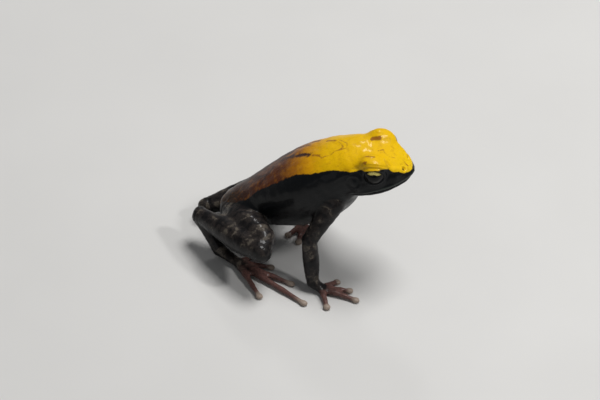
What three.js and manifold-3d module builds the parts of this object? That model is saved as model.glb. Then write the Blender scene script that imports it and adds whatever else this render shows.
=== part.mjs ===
// A brown mantella, a small ground frog, sitting with its forequarters propped up on its arms.
// Life size in millimetres: +X is forward, +Z is up, and the frog's right side is at -Y.
// The body is one smooth form, parted by narrow gaps where a person would name its parts.
// The soles, toes and finger pads end in small flats at one level, the floor.

import * as THREE from "three";
import { mergeVertices } from "three/addons/utils/BufferGeometryUtils.js";
import Module from "manifold-3d";

const wasm = await Module();
wasm.setup();

// Driving dimensions
const GAP = 0.3; // between neighbouring parts
const BODY_SIDES = 28;
const RINGS_PER_STATION = 2;
const CAP_ANGLES = [30, 60]; // degrees: the rings that round off the end of a limb
const BLOCK = 60; // side of a block that cuts away everything beyond a plane

const RIGHT = -1;
const LEFT = 1;

// Stations of the body from vent to snout: the middle of each section, its half width, how far it
// reaches above and below the middle, and how square its upper and lower halves are (2 is round).
const BODY = [
  { x: 0.0, z: 3.9, wide: 0.45, above: 0.35, below: 0.35, top: 2, bottom: 2 },
  { x: 0.5, z: 4.2, wide: 1.4, above: 1.0, below: 1.0, top: 2, bottom: 2 },
  { x: 1.8, z: 4.9, wide: 2.3, above: 1.5, below: 1.9, top: 2, bottom: 2 },
  { x: 3.6, z: 6.0, wide: 2.9, above: 1.9, below: 3.3, top: 2.1, bottom: 2 },
  { x: 5.6, z: 7.6, wide: 3.5, above: 2.2, below: 4.8, top: 2.2, bottom: 2 },
  { x: 7.8, z: 9.5, wide: 4.1, above: 2.4, below: 5.8, top: 2.2, bottom: 2 },
  { x: 10.1, z: 11.2, wide: 4.3, above: 2.6, below: 5.8, top: 2.2, bottom: 2 },
  { x: 12.4, z: 12.7, wide: 4.0, above: 2.6, below: 5.0, top: 2.2, bottom: 2.1 },
  { x: 14.4, z: 13.7, wide: 3.7, above: 2.45, below: 3.9, top: 2.3, bottom: 2.2 },
  { x: 16.2, z: 14.0, wide: 3.95, above: 2.45, below: 3.1, top: 2.4, bottom: 2.2 },
  { x: 17.9, z: 14.1, wide: 3.65, above: 2.3, below: 2.7, top: 2.5, bottom: 2.2 },
  { x: 19.4, z: 14.15, wide: 2.85, above: 1.8, below: 2.0, top: 2.5, bottom: 2.2 },
  { x: 20.45, z: 14.2, wide: 1.9, above: 1.15, below: 1.25, top: 2.4, bottom: 2.1 },
  { x: 21.1, z: 14.3, wide: 1.1, above: 0.65, below: 0.65, top: 2.2, bottom: 2 },
  { x: 21.35, z: 14.35, wide: 0.4, above: 0.25, below: 0.25, top: 2, bottom: 2 },
];
const NECK = { x: 14.9, z: 13.6, lean: 14 }; // place and lean in degrees of the cut behind the head

// Head
const EYE = { x: 17.5, y: 2.55, z: 15.1, radius: 1.25 };
const BROW = { x: 17.25, y: 2.35, z: 15.1, long: 2.0, wide: 1.95, high: 1.85 };
const LID_OPENING = { x: 17.65, y: 4.2, z: 14.95, long: 1.15, wide: 1.2, high: 0.62 };
const NOSTRIL = { x: 20.5, y: 1.05, z: 15.1, radius: 0.28 };
const EARDRUM = { x: 15.45, y: 3.85, z: 14.2, radius: 0.72, groove: 0.16 };
const MOUTH = {
  depth: 0.35, // of the groove between the lips
  height: 0.26,
  corner: [15.6, 12.2], // x and z in side view, from the corner to the tip of the snout
  bow: [18.6, 12.9],
  front: [22.6, 14.0],
};

// Joints of the limbs, each as [x, distance from the midline, z]. The right side is the one that
// leans out further; the left limbs are drawn in a little closer to the body.
const ARMS = {
  right: {
    side: RIGHT,
    shoulder: [13.4, 3.2, 10.2],
    elbow: [11.3, 5.2, 6.0],
    wrist: [12.2, 6.6, 1.15],
    fingers: [
      [14.6, 4.9],
      [16.3, 5.9],
      [17.3, 7.2],
      [14.5, 9.2],
    ],
  },
  left: {
    side: LEFT,
    shoulder: [13.4, 3.2, 10.2],
    elbow: [10.2, 5.4, 6.2],
    wrist: [8.4, 4.0, 1.15],
    fingers: [
      [7.5, 1.2],
      [8.9, 0.4],
      [10.4, 0.2],
      [10.7, 1.9],
    ],
  },
};
const LEGS = {
  right: {
    side: RIGHT,
    hip: [1.4, 1.0, 4.3],
    knee: [6.4, 6.6, 6.2],
    knee_below: [6.6, 8.3, 5.7],
    heel: [-1.9, 2.3, 3.9],
    sole: [0.9, 4.1, 0.95],
    toes: [
      [4.9, 3.2],
      [7.0, 4.6],
      [9.8, 6.6],
      [11.9, 9.3],
      [6.9, 9.6],
    ],
  },
  left: {
    side: LEFT,
    hip: [1.4, 1.0, 4.3],
    knee: [6.8, 5.5, 5.0],
    knee_below: [7.0, 7.0, 4.4],
    heel: [-2.2, 1.5, 2.0],
    sole: [0.9, 4.0, 0.95],
    toes: [
      [4.7, 3.3],
      [6.9, 4.6],
      [9.7, 6.4],
      [11.8, 8.8],
      [7.2, 9.5],
    ],
  },
};

// Half thicknesses along each limb, from its root to its end
const GIRTH = {
  upper_arm: [1.25, 1.05, 0.9],
  forearm: [0.85, 0.95, 0.7],
  thigh: [1.4, 1.8, 1.75, 1.3],
  shank: [1.25, 1.5, 1.3, 0.9],
  tarsus: [0.95, 0.8, 0.8],
  palm: 0.75,
  sole: 0.72,
  digit: [0.45, 0.33, 0.27],
};
const DIGIT_HEIGHT = 0.27; // of a digit's middle above the floor
const PAD = { long: 0.5, wide: 0.44, high: 0.34 };

const COLOURS = {
  head: [0.78, 0.55, 0.06],
  torso: [0.5, 0.24, 0.07],
  limb: [0.1, 0.075, 0.06],
  digit: [0.17, 0.1, 0.07],
  eye: [0.02, 0.02, 0.02],
};

const point = (x, y, z) => new THREE.Vector3(x, y, z);
const radians = THREE.MathUtils.degToRad;
const signedPower = (value, power) => Math.sign(value) * Math.abs(value) ** power;

// Every field of a row of stations at place t, counted in stations, on a smooth line through them.
function blendStations(stations, t) {
  const last = stations.length - 1;
  const i = Math.min(Math.floor(t), last - 1);
  const f = t - i;
  const before = stations[Math.max(i - 1, 0)];
  const after = stations[Math.min(i + 2, last)];
  const [a, b] = [stations[i], stations[i + 1]];
  const mixed = {};
  for (const key of Object.keys(a)) {
    const leave = (b[key] - before[key]) / 2;
    const arrive = (after[key] - a[key]) / 2;
    mixed[key] =
      a[key] * (1 + 2 * f) * (1 - f) ** 2 +
      leave * f * (1 - f) ** 2 +
      b[key] * f * f * (3 - 2 * f) +
      arrive * f * f * (f - 1);
  }
  return mixed;
}

// Turns a closed three.js geometry into a solid that can be joined and cut.
function solidFromGeometry(geometry) {
  geometry.deleteAttribute("normal");
  geometry.deleteAttribute("uv");
  const merged = mergeVertices(geometry, 1e-4);
  return new wasm.Manifold(
    new wasm.Mesh({
      numProp: 3,
      vertProperties: new Float32Array(merged.attributes.position.array),
      triVerts: new Uint32Array(merged.index.array),
    }),
  );
}

// A closed solid from rings of equal length, with a point at each end.
function solidFromRings(start, rings, end) {
  const sides = rings[0].length;
  const positions = [start, ...rings.flat(), end].flatMap((p) => [p.x, p.y, p.z]);
  const faces = [];
  const last = 1 + sides * rings.length;
  for (let i = 0; i < sides; i++) {
    const j = (i + 1) % sides;
    faces.push(0, 1 + i, 1 + j);
    for (let ring = 0; ring < rings.length - 1; ring++) {
      const here = 1 + ring * sides;
      const next = here + sides;
      faces.push(here + i, next + j, here + j, here + i, next + i, next + j);
    }
    faces.push(last - sides + i, last, last - sides + j);
  }
  const geometry = new THREE.BufferGeometry();
  geometry.setAttribute("position", new THREE.Float32BufferAttribute(positions, 3));
  geometry.setIndex(faces);
  return solidFromGeometry(geometry);
}

// One section of the body: a rounded oval, flatter or squarer as its station says.
function bodyRing(station, slope, grow) {
  const up = point(-Math.sin(slope), 0, Math.cos(slope));
  return Array.from({ length: BODY_SIDES }, (_, i) => {
    const turn = (2 * Math.PI * i) / BODY_SIDES;
    const above = Math.sin(turn) > 0;
    const power = 2 / (above ? station.top : station.bottom);
    const reach = (above ? station.above : station.below) + grow;
    const across = -(station.wide + grow) * signedPower(Math.cos(turn), power);
    const lift = reach * signedPower(Math.sin(turn), power);
    return point(station.x, across, station.z).addScaledVector(up, lift);
  });
}

// The whole body from vent to snout, swollen all round by grow.
function bodySolid(grow = 0) {
  const look = 0.05; // stations to either side over which the slope is read
  const steps = (BODY.length - 1) * RINGS_PER_STATION;
  const rings = [];
  for (let k = 0; k <= steps; k++) {
    const t = k / RINGS_PER_STATION;
    const back = blendStations(BODY, Math.max(t - look, 0));
    const ahead = blendStations(BODY, Math.min(t + look, BODY.length - 1));
    const slope = Math.atan2(ahead.z - back.z, ahead.x - back.x);
    rings.push(bodyRing(blendStations(BODY, t), slope, grow));
  }
  const first = BODY[0];
  const last = BODY.at(-1);
  const vent = point(first.x - first.above / 2 - grow, 0, first.z - first.above / 2);
  const snout = point(last.x + last.above / 2 + grow, 0, last.z);
  return solidFromRings(vent, rings, snout);
}

// A limb, finger or toe: ovals carried along a smooth line through its joints, with round ends.
function limbSolid({ line, girth, flat = 1, sides = 14, steps = 6, level = [0, 0, 1] }, grow = 0) {
  const curve = new THREE.CatmullRomCurve3(line, false, "centripetal");
  const girths = girth.map((radius) => ({ radius }));
  const reference = point(...level);
  const ring = (centre, along, radius) => {
    const across = new THREE.Vector3().crossVectors(along, reference).normalize();
    const up = new THREE.Vector3().crossVectors(across, along);
    return Array.from({ length: sides }, (_, i) => {
      const turn = (2 * Math.PI * i) / sides;
      return centre
        .clone()
        .addScaledVector(across, radius * Math.cos(turn))
        .addScaledVector(up, radius * flat * Math.sin(turn));
    });
  };
  const end = (u, way) => {
    const along = curve.getTangentAt(u);
    const radius = girth.at(u === 0 ? 0 : -1) + grow;
    const beyond = (reach) => curve.getPointAt(u).addScaledVector(along, way * reach);
    const rings = CAP_ANGLES.map(radians).map((angle) =>
      ring(beyond(radius * Math.cos(angle)), along, radius * Math.sin(angle)),
    );
    return { tip: beyond(radius), rings };
  };
  const start = end(0, -1);
  const finish = end(1, 1);
  const middle = Array.from({ length: steps + 1 }, (_, k) => {
    const u = k / steps;
    const { radius } = blendStations(girths, u * (girths.length - 1));
    return ring(curve.getPointAt(u), curve.getTangentAt(u), radius + grow);
  });
  return solidFromRings(
    start.tip,
    [...start.rings, ...middle, ...finish.rings.reverse()],
    finish.tip,
  );
}

// A ball stretched to half sizes long, wide and high about a place.
function ballSolid([x, y, z], [long, wide, high], across = 16, down = 10) {
  const geometry = new THREE.SphereGeometry(1, across, down);
  geometry.rotateX(Math.PI / 2);
  geometry.scale(long, wide, high);
  geometry.translate(x, y, z);
  return solidFromGeometry(geometry);
}

// The same for a feature of the head given by its size and by its place on the left side.
function ballBeside({ x, y, z, radius, long = radius, wide = radius, high = radius }, side, ...fine) {
  return ballSolid([x, side * y, z], [long, wide, high], ...fine);
}

// A large block whose one face passes through a place, turned about Y by lean degrees. Everything
// on its +X side before the turn is inside it.
function blockAhead([x, y, z], lean) {
  const geometry = new THREE.BoxGeometry(BLOCK, BLOCK, BLOCK);
  geometry.translate(BLOCK / 2, 0, 0);
  geometry.rotateY(-radians(lean));
  geometry.translate(x, y, z);
  return solidFromGeometry(geometry);
}

function floorBlock() {
  const geometry = new THREE.BoxGeometry(BLOCK, BLOCK, BLOCK);
  geometry.translate(0, 0, -BLOCK / 2);
  return solidFromGeometry(geometry);
}

// The closed surface that holds most volume, so that a cut leaves no loose scrap.
function largest(solid) {
  return solid.decompose().reduce((best, s) => (s.volume() > best.volume() ? s : best));
}

// The band between the lips in side view, wide enough to cross the whole head.
function mouthBand() {
  const { corner, bow, front, height } = MOUTH;
  const lower = new THREE.QuadraticBezierCurve(
    new THREE.Vector2(...corner),
    new THREE.Vector2(...bow),
    new THREE.Vector2(...front),
  ).getPoints(8);
  const upper = lower.map((p, i) => {
    const taper = Math.min(1, 0.25 + i / 3, 1.5 - i / 9); // it closes towards both ends
    return new THREE.Vector2(p.x, p.y + height * taper);
  });
  const band = new THREE.Shape([...lower, ...upper.reverse()]);
  const geometry = new THREE.ExtrudeGeometry(band, { depth: BLOCK, bevelEnabled: false });
  geometry.rotateX(Math.PI / 2);
  geometry.translate(0, BLOCK / 2, 0);
  return solidFromGeometry(geometry);
}

// The ring of a shallow groove round an eardrum.
function eardrumRing(side) {
  const { x, y, z, radius, groove } = EARDRUM;
  const geometry = new THREE.TorusGeometry(radius, groove, 5, 14);
  geometry.rotateX(Math.PI / 2);
  geometry.rotateZ(side * radians(-8));
  geometry.translate(x, side * y, z);
  return solidFromGeometry(geometry);
}

const body = bodySolid();
const bodyClear = bodySolid(GAP);
const floor = floorBlock();

function headSolid() {
  let head = body.intersect(blockAhead([NECK.x + GAP / 2, 0, NECK.z], NECK.lean));
  for (const side of [RIGHT, LEFT]) head = head.add(ballBeside(BROW, side, 20, 12));
  const lipShell = mouthBand().subtract(bodySolid(-MOUTH.depth));
  head = head.subtract(lipShell);
  for (const side of [RIGHT, LEFT]) {
    head = head
      .subtract(ballBeside({ ...EYE, radius: EYE.radius + GAP }, side, 18, 12))
      .subtract(ballBeside(LID_OPENING, side))
      .subtract(ballBeside(NOSTRIL, side, 8, 6))
      .subtract(eardrumRing(side));
  }
  return largest(head);
}

function torsoSolid() {
  return largest(body.subtract(blockAhead([NECK.x - GAP / 2, 0, NECK.z], NECK.lean)));
}

function eyeSolid(side) {
  return ballBeside(EYE, side);
}

const onSide = (side) => ([x, out, z]) => point(x, side * out, z);

// A finger or toe along the floor from the middle of the hand or foot, with a pad at its tip.
function digitSolids(root, [tipX, tipOut], side) {
  const tip = point(tipX, side * tipOut, DIGIT_HEIGHT);
  const knuckle = root.clone().lerp(tip, 0.45).setZ(DIGIT_HEIGHT + 0.22);
  const pad = ballSolid([tip.x, tip.y, tip.z], [PAD.long, PAD.wide, PAD.high], 8, 5);
  const finger = limbSolid({ line: [root, knuckle, tip], girth: GIRTH.digit, sides: 6, steps: 3 });
  return [finger, pad];
}

// Hand or foot: the palm or sole with its digits joined on, flattened where it meets the floor.
function handOrFoot(root, middle, girth, digits, side) {
  const core = limbSolid({ line: [root, middle], girth, flat: 0.8, sides: 10, steps: 2 });
  const start = middle.clone().setZ(DIGIT_HEIGHT + 0.15);
  const all = digits.flatMap((tip) => digitSolids(start, tip, side));
  return wasm.Manifold.union([core, ...all]).subtract(floor);
}

// Upper arm, forearm and hand of one side.
function armSolids({ side, shoulder, elbow, wrist, fingers }) {
  const [s, e, w] = [shoulder, elbow, wrist].map(onSide(side));
  const upper = { line: [s, e], girth: GIRTH.upper_arm, level: [0, 1, 0] };
  const fore = { line: [e, w], girth: GIRTH.forearm, level: [0, 1, 0] };
  const tips = fingers.map(([x, out]) => point(x, side * out, 0));
  const centre = tips.reduce((sum, p) => sum.add(p), point(0, 0, 0)).divideScalar(tips.length);
  const palm = w.clone().lerp(centre, 0.3).setZ(0.55);
  return {
    upper_arm: limbSolid(upper).subtract(bodyClear),
    forearm: limbSolid(fore).subtract(limbSolid(upper, GAP)),
    hand: handOrFoot(w, palm, [GIRTH.palm, 0.6], fingers, side)
      .subtract(limbSolid(fore, GAP)),
  };
}

// Thigh, shank, tarsus and foot of one side.
function legSolids({ side, hip, knee, knee_below, heel, sole, toes }) {
  const [h, k, kb, a, s] = [hip, knee, knee_below, heel, sole].map(onSide(side));
  const thigh = { line: [h, k], girth: GIRTH.thigh };
  const shank = { line: [kb, a], girth: GIRTH.shank };
  const tarsus = { line: [a, s], girth: GIRTH.tarsus, level: [0, 1, 0] };
  const thighClear = limbSolid(thigh, GAP);
  const shankClear = limbSolid(shank, GAP);
  const ball = s.clone().lerp(point(toes[3][0], side * toes[3][1], 0), 0.22).setZ(0.6);
  return {
    thigh: limbSolid(thigh).subtract(bodyClear),
    shank: limbSolid(shank).subtract(thighClear).subtract(bodyClear),
    tarsus: limbSolid(tarsus).subtract(shankClear).subtract(bodyClear),
    foot: handOrFoot(s, ball, [GIRTH.sole, 0.6], toes, side)
      .subtract(limbSolid(tarsus, GAP))
      .subtract(shankClear),
  };
}

// A named mesh in its own colour, with crisp flat faces.
function meshOf(name, solid, [red, green, blue], roughness = 0.35) {
  const { numProp, vertProperties, triVerts } = largest(solid).getMesh();
  const geometry = new THREE.BufferGeometry();
  const positions = new Float32Array((vertProperties.length / numProp) * 3);
  for (let i = 0; i < positions.length / 3; i++)
    positions.set(vertProperties.subarray(i * numProp, i * numProp + 3), i * 3);
  geometry.setAttribute("position", new THREE.BufferAttribute(positions, 3));
  geometry.setIndex(new THREE.BufferAttribute(triVerts, 1));
  geometry.computeVertexNormals();
  const material = new THREE.MeshStandardMaterial({ roughness, metalness: 0 });
  material.color.setRGB(red, green, blue);
  const mesh = new THREE.Mesh(geometry, material);
  mesh.name = name;
  return mesh;
}

const frog = new THREE.Group();
frog.add(meshOf("head", headSolid(), COLOURS.head));
frog.add(meshOf("torso", torsoSolid(), COLOURS.torso));
for (const [name, arm] of Object.entries(ARMS)) {
  frog.add(meshOf(`eye_${name}`, eyeSolid(arm.side), COLOURS.eye, 0.05));
  for (const [part, solid] of Object.entries(armSolids(arm)))
    frog.add(meshOf(`${part}_${name}`, solid, part === "hand" ? COLOURS.digit : COLOURS.limb));
}
for (const [name, leg] of Object.entries(LEGS))
  for (const [part, solid] of Object.entries(legSolids(leg)))
    frog.add(meshOf(`${part}_${name}`, solid, part === "foot" ? COLOURS.digit : COLOURS.limb));

// The frame's origin is the middle of the box's base, with the soles on the floor.
const box = new THREE.Box3().setFromObject(frog);
const centre = box.getCenter(new THREE.Vector3());
frog.position.set(-centre.x, -centre.y, -box.min.z);

export default frog;
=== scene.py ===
"""A brown mantella, a small ground frog, propped up on its arms: skin, eyes, floor, light and camera.

Every size is in millimetres in the frog's own frame: the vent is near x = 0, the snout is at
x = 21.4, the frog's right side is at -y and its soles are at z = 0. The finished meshes are moved
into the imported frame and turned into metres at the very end.
"""

import logging
import math
from collections.abc import Iterable
from dataclasses import dataclass, field
from enum import Enum

import bmesh
import bpy
import numpy as np
from mathutils import Matrix, Vector


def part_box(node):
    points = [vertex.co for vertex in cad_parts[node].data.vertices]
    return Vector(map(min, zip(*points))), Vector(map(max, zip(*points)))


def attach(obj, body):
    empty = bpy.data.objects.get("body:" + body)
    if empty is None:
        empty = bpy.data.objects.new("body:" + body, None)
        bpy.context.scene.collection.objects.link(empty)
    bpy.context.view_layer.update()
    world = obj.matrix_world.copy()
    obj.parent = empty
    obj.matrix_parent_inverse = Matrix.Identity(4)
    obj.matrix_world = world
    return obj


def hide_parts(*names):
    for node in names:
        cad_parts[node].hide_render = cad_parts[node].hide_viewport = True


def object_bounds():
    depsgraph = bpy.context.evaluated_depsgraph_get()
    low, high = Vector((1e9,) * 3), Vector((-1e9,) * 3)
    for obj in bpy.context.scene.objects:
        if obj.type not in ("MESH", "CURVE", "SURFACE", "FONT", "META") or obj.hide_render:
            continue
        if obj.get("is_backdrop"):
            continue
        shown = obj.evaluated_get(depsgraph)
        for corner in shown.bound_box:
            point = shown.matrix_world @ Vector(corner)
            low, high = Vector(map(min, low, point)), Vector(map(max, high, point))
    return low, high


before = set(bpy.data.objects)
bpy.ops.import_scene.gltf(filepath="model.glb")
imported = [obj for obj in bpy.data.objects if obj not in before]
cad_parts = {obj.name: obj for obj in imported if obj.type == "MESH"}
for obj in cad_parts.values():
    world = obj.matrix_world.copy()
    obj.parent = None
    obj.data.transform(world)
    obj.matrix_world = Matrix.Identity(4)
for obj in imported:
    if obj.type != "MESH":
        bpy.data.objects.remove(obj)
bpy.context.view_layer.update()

log = logging.getLogger("mantella")

MM = 0.001
FRAME_WIDTH_PX, FRAME_HEIGHT_PX = 600, 400
SENSOR_MM = 36.0
# Points worked out on each span of a smooth line.
SPAN_POINTS = 60
# Angles from its pole of the rings that round off the end of a sweep.
CAP_ANGLES = np.radians(np.arange(10, 90, 10))
# A distance, or a share of one, that is past every edge.
FAR_OFF = 9.0

Pair = tuple[float, float]
Triple = tuple[float, float, float]
Colour = tuple[float, float, float]


class Side(Enum):
    """Which flank a paired part belongs to, as the sign of its y."""

    RIGHT = -1
    LEFT = 1

    def place(self, outwards: Triple) -> np.ndarray:
        """A place in the frog's frame, from one whose y is measured outwards."""
        return np.array([outwards[0], self.value * outwards[1], outwards[2]])


@dataclass(frozen=True)
class Shell:
    """A closed surface of triangles.

    Attributes:
        points: Corner places in millimetres, one row each.
        faces: Corner numbers of each triangle, counter-clockwise from outside.
    """

    points: np.ndarray
    faces: np.ndarray

    @staticmethod
    def joined(shells: list["Shell"]) -> "Shell":
        """Several shells in one list, not yet fused.

        Args:
            shells: The shells, which may cross one another.

        Returns:
            All their corners and triangles, numbered anew.
        """
        starts = np.cumsum([0] + [len(s.points) for s in shells[:-1]])
        return Shell(
            np.concatenate([s.points for s in shells]),
            np.concatenate([s.faces + n for s, n in zip(shells, starts)]),
        )

    def mesh(self, name: str) -> bpy.types.Mesh:
        """The shell in Blender, still in millimetres.

        Args:
            name: Of the mesh.

        Returns:
            The mesh.
        """
        made = bpy.data.meshes.new(name)
        made.from_pydata(self.points.tolist(), [], self.faces.tolist())
        return made


def signed_power(value: np.ndarray, power: np.ndarray) -> np.ndarray:
    """The value's size raised to a power, with its sign kept."""
    return np.sign(value) * np.abs(value) ** power


def smooth_step(low: float, high: float, value: np.ndarray) -> np.ndarray:
    """0 at low, 1 at high, and 3t² - 2t³ between them. low may be the larger."""
    t = np.clip((value - low) / (high - low), 0, 1)
    return t * t * (3 - 2 * t)


def between(value: np.ndarray, rise: Pair, fall: Pair) -> np.ndarray:
    """1 between two smooth steps: one up from 0 over rise, and one down to 0 over fall."""
    return smooth_step(*rise, value) * smooth_step(*fall, value)


def bell(value: np.ndarray, width: float) -> np.ndarray:
    """A bell of height 1 at 0 that falls to 0.37 at width: exp(-(value / width)²)."""
    return np.exp(-((value / width) ** 2))


def distance(points: np.ndarray, place: np.ndarray) -> np.ndarray:
    """How far each point is from a place."""
    return np.linalg.norm(points - place, axis=1)


def run_along(line: np.ndarray) -> np.ndarray:
    """The way along a line to each of its points, from 0."""
    return np.concatenate([[0], np.cumsum(np.linalg.norm(np.diff(line, axis=0), axis=1))])


def nearest(
    rivals: Iterable[tuple[np.ndarray, np.ndarray | float]], count: int
) -> tuple[np.ndarray, np.ndarray]:
    """Finds which of several rivals each point is nearest to.

    Args:
        rivals: For each, how far every point is from it, and what a point takes from it.
        count: How many points there are.

    Returns:
        The least distance of each point, and what it takes from that rival.
    """
    least, taken = np.full(count, np.inf), np.zeros(count)
    for away, gift in rivals:
        nearer = away < least
        least, taken = np.where(nearer, away, least), np.where(nearer, gift, taken)
    return least, taken


def read_rows(table: np.ndarray, place: np.ndarray) -> np.ndarray:
    """Rows of a table read between its rows, on the cubic of each pair and their neighbours.

    Args:
        table: One row for each station.
        place: Where to read, counted in rows.

    Returns:
        One row for each place.
    """
    last = len(table) - 1
    i = np.minimum(np.floor(place).astype(int), last - 1)
    f = (place - i)[:, None]
    before, after = table[np.maximum(i - 1, 0)], table[np.minimum(i + 2, last)]
    a, b = table[i], table[i + 1]
    leave, arrive = (b - before) / 2, (after - a) / 2
    return (
        a * (1 + 2 * f) * (1 - f) ** 2
        + leave * f * (1 - f) ** 2
        + b * f * f * (3 - 2 * f)
        + arrive * f * f * (f - 1)
    )


def smooth_line(joints: np.ndarray, count: int) -> np.ndarray:
    """Evenly spaced points on a smooth line through a limb's joints.

    Each span is the centripetal Catmull-Rom cubic: the knots are spaced by the square root of
    the distance between joints, and a mirrored joint stands beyond each end.

    Args:
        joints: The joints in order, one row each.
        count: How many points to return.

    Returns:
        The points, one row each.
    """
    mirrored = [2 * joints[0] - joints[1], *joints, 2 * joints[-1] - joints[-2]]
    u = np.linspace(0, 1, SPAN_POINTS)[:, None]
    fine = []
    for p0, p1, p2, p3 in zip(mirrored, mirrored[1:], mirrored[2:], mirrored[3:]):
        d0, d1, d2 = (math.sqrt(np.linalg.norm(b - a)) for a, b in ((p0, p1), (p1, p2), (p2, p3)))
        t1 = ((p1 - p0) / d0 - (p2 - p0) / (d0 + d1) + (p2 - p1) / d1) * d1
        t2 = ((p2 - p1) / d1 - (p3 - p1) / (d1 + d2) + (p3 - p2) / d2) * d1
        square, cube = 3 * (p2 - p1) - 2 * t1 - t2, 2 * (p1 - p2) + t1 + t2
        fine.append(p1 + t1 * u + square * u**2 + cube * u**3)
    line = np.concatenate(fine)
    run = run_along(line)
    even = np.linspace(0, run[-1], count)
    return np.stack([np.interp(even, run, line[:, k]) for k in range(3)], axis=1)


def wrapped_rings(start: np.ndarray, rings: np.ndarray, end: np.ndarray) -> Shell:
    """A closed shell from rings of equal length with a point at each end.

    Args:
        start: The point that closes the first ring.
        rings: Places of shape (rings, sides, 3), each ring turning the same way.
        end: The point that closes the last ring.

    Returns:
        The shell, with a fan of triangles at each end and two triangles to each wall face.
    """
    count, sides, _ = rings.shape
    i = np.arange(sides)
    j = (i + 1) % sides
    here = 1 + np.arange(count - 1)[:, None] * sides
    ahead = here + sides
    walls = np.concatenate(
        [
            np.stack(np.broadcast_arrays(here + i, ahead + j, here + j), -1).reshape(-1, 3),
            np.stack(np.broadcast_arrays(here + i, ahead + i, ahead + j), -1).reshape(-1, 3),
        ]
    )
    last = 1 + sides * count
    first_cap = np.stack([np.zeros_like(i), 1 + i, 1 + j], -1)
    last_cap = np.stack([last - sides + i, np.full_like(i, last), last - sides + j], -1)
    points = np.concatenate([start[None], rings.reshape(-1, 3), end[None]])
    return Shell(points, np.concatenate([first_cap, walls, last_cap]))


def ball(centre: np.ndarray, sizes: Triple, around: int) -> Shell:
    """An ellipsoid: a unit ball's rings of latitude, stretched to its three half sizes.

    Args:
        centre: Its middle.
        sizes: Half sizes along x, y and z.
        around: Corners of each ring. There are half as many rings.

    Returns:
        The closed shell.
    """
    angle = np.pi * (np.arange(1, around // 2) / (around // 2))[:, None]
    turn = (2 * np.pi * np.arange(around) / around)[None, :]
    rings = np.stack(
        [-np.cos(angle) + 0 * turn, -np.sin(angle) * np.cos(turn), np.sin(angle) * np.sin(turn)],
        -1,
    )
    pole = np.array([1.0, 0, 0]) * sizes
    return wrapped_rings(centre - pole, centre + rings * np.array(sizes), centre + pole)


@dataclass
class Sweep:
    """A limb, finger or toe: ovals carried along a smooth line, with round ends.

    Attributes:
        joints: The joints of the line, one row each.
        girth: Half thicknesses along it, evenly spaced.
        flat: Height of each oval as a share of its width.
        level: The direction that stays upright in each oval.
        sides: Corners of each oval.
        steps: Rings along the line.
        swell: Rings of muscle or knuckle as (place along from 0 to 1, width, share of the girth).
    """

    joints: np.ndarray
    girth: tuple[float, ...]
    flat: float = 1.0
    level: Triple = (0.0, 0.0, 1.0)
    sides: int = 40
    steps: int = 48
    swell: tuple[Triple, ...] = ()

    def radii(self) -> np.ndarray:
        """The girth read along the line, times 1 + each swell's bell.

        Returns:
            Half thickness at each ring.
        """
        along = np.linspace(0, 1, self.steps)
        table = np.array(self.girth)[:, None]
        base = read_rows(table, along * (len(table) - 1))[:, 0]
        for place, width, share in self.swell:
            base = base * (1 + share * bell(along - place, width))
        return base

    def line(self) -> np.ndarray:
        """The middle of each ring."""
        return smooth_line(self.joints, self.steps)

    def shell(self) -> Shell:
        """The swept surface: centre + radius (across cos a + up sin a), with half-round ends.

        Returns:
            The closed shell.
        """
        line, radii = self.line(), self.radii()
        along = np.gradient(line, axis=0)
        along /= np.linalg.norm(along, axis=1)[:, None]
        lead, tail, caps = radii[0], radii[-1], len(CAP_ANGLES)
        centres = np.concatenate(
            [
                line[0] - along[0] * (lead * np.cos(CAP_ANGLES))[:, None],
                line,
                (line[-1] + along[-1] * (tail * np.cos(CAP_ANGLES))[:, None])[::-1],
            ]
        )
        ways = np.concatenate(
            [np.repeat(along[:1], caps, 0), along, np.repeat(along[-1:], caps, 0)]
        )
        rounding = np.sin(CAP_ANGLES)
        sizes = np.concatenate([lead * rounding, radii, (tail * rounding)[::-1]])
        across = np.cross(ways, np.array(self.level))
        across /= np.linalg.norm(across, axis=1)[:, None]
        up = np.cross(across, ways) * self.flat
        turn = 2 * np.pi * np.arange(self.sides) / self.sides
        rings = centres[:, None] + sizes[:, None, None] * (
            across[:, None] * np.cos(turn)[None, :, None]
            + up[:, None] * np.sin(turn)[None, :, None]
        )
        return wrapped_rings(line[0] - along[0] * lead, rings, line[-1] + along[-1] * tail)

    def measure(self, points: np.ndarray) -> tuple[np.ndarray, np.ndarray]:
        """How far points are outside the sweep, and how far along it their nearest ring is.

        Args:
            points: Places, one row each.

        Returns:
            Millimetres outside the surface, and millimetres along the line.
        """
        line = self.line()
        rings = zip(line, self.radii(), run_along(line))
        rivals = ((distance(points, centre) - radius, run) for centre, radius, run in rings)
        return nearest(rivals, len(points))


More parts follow.
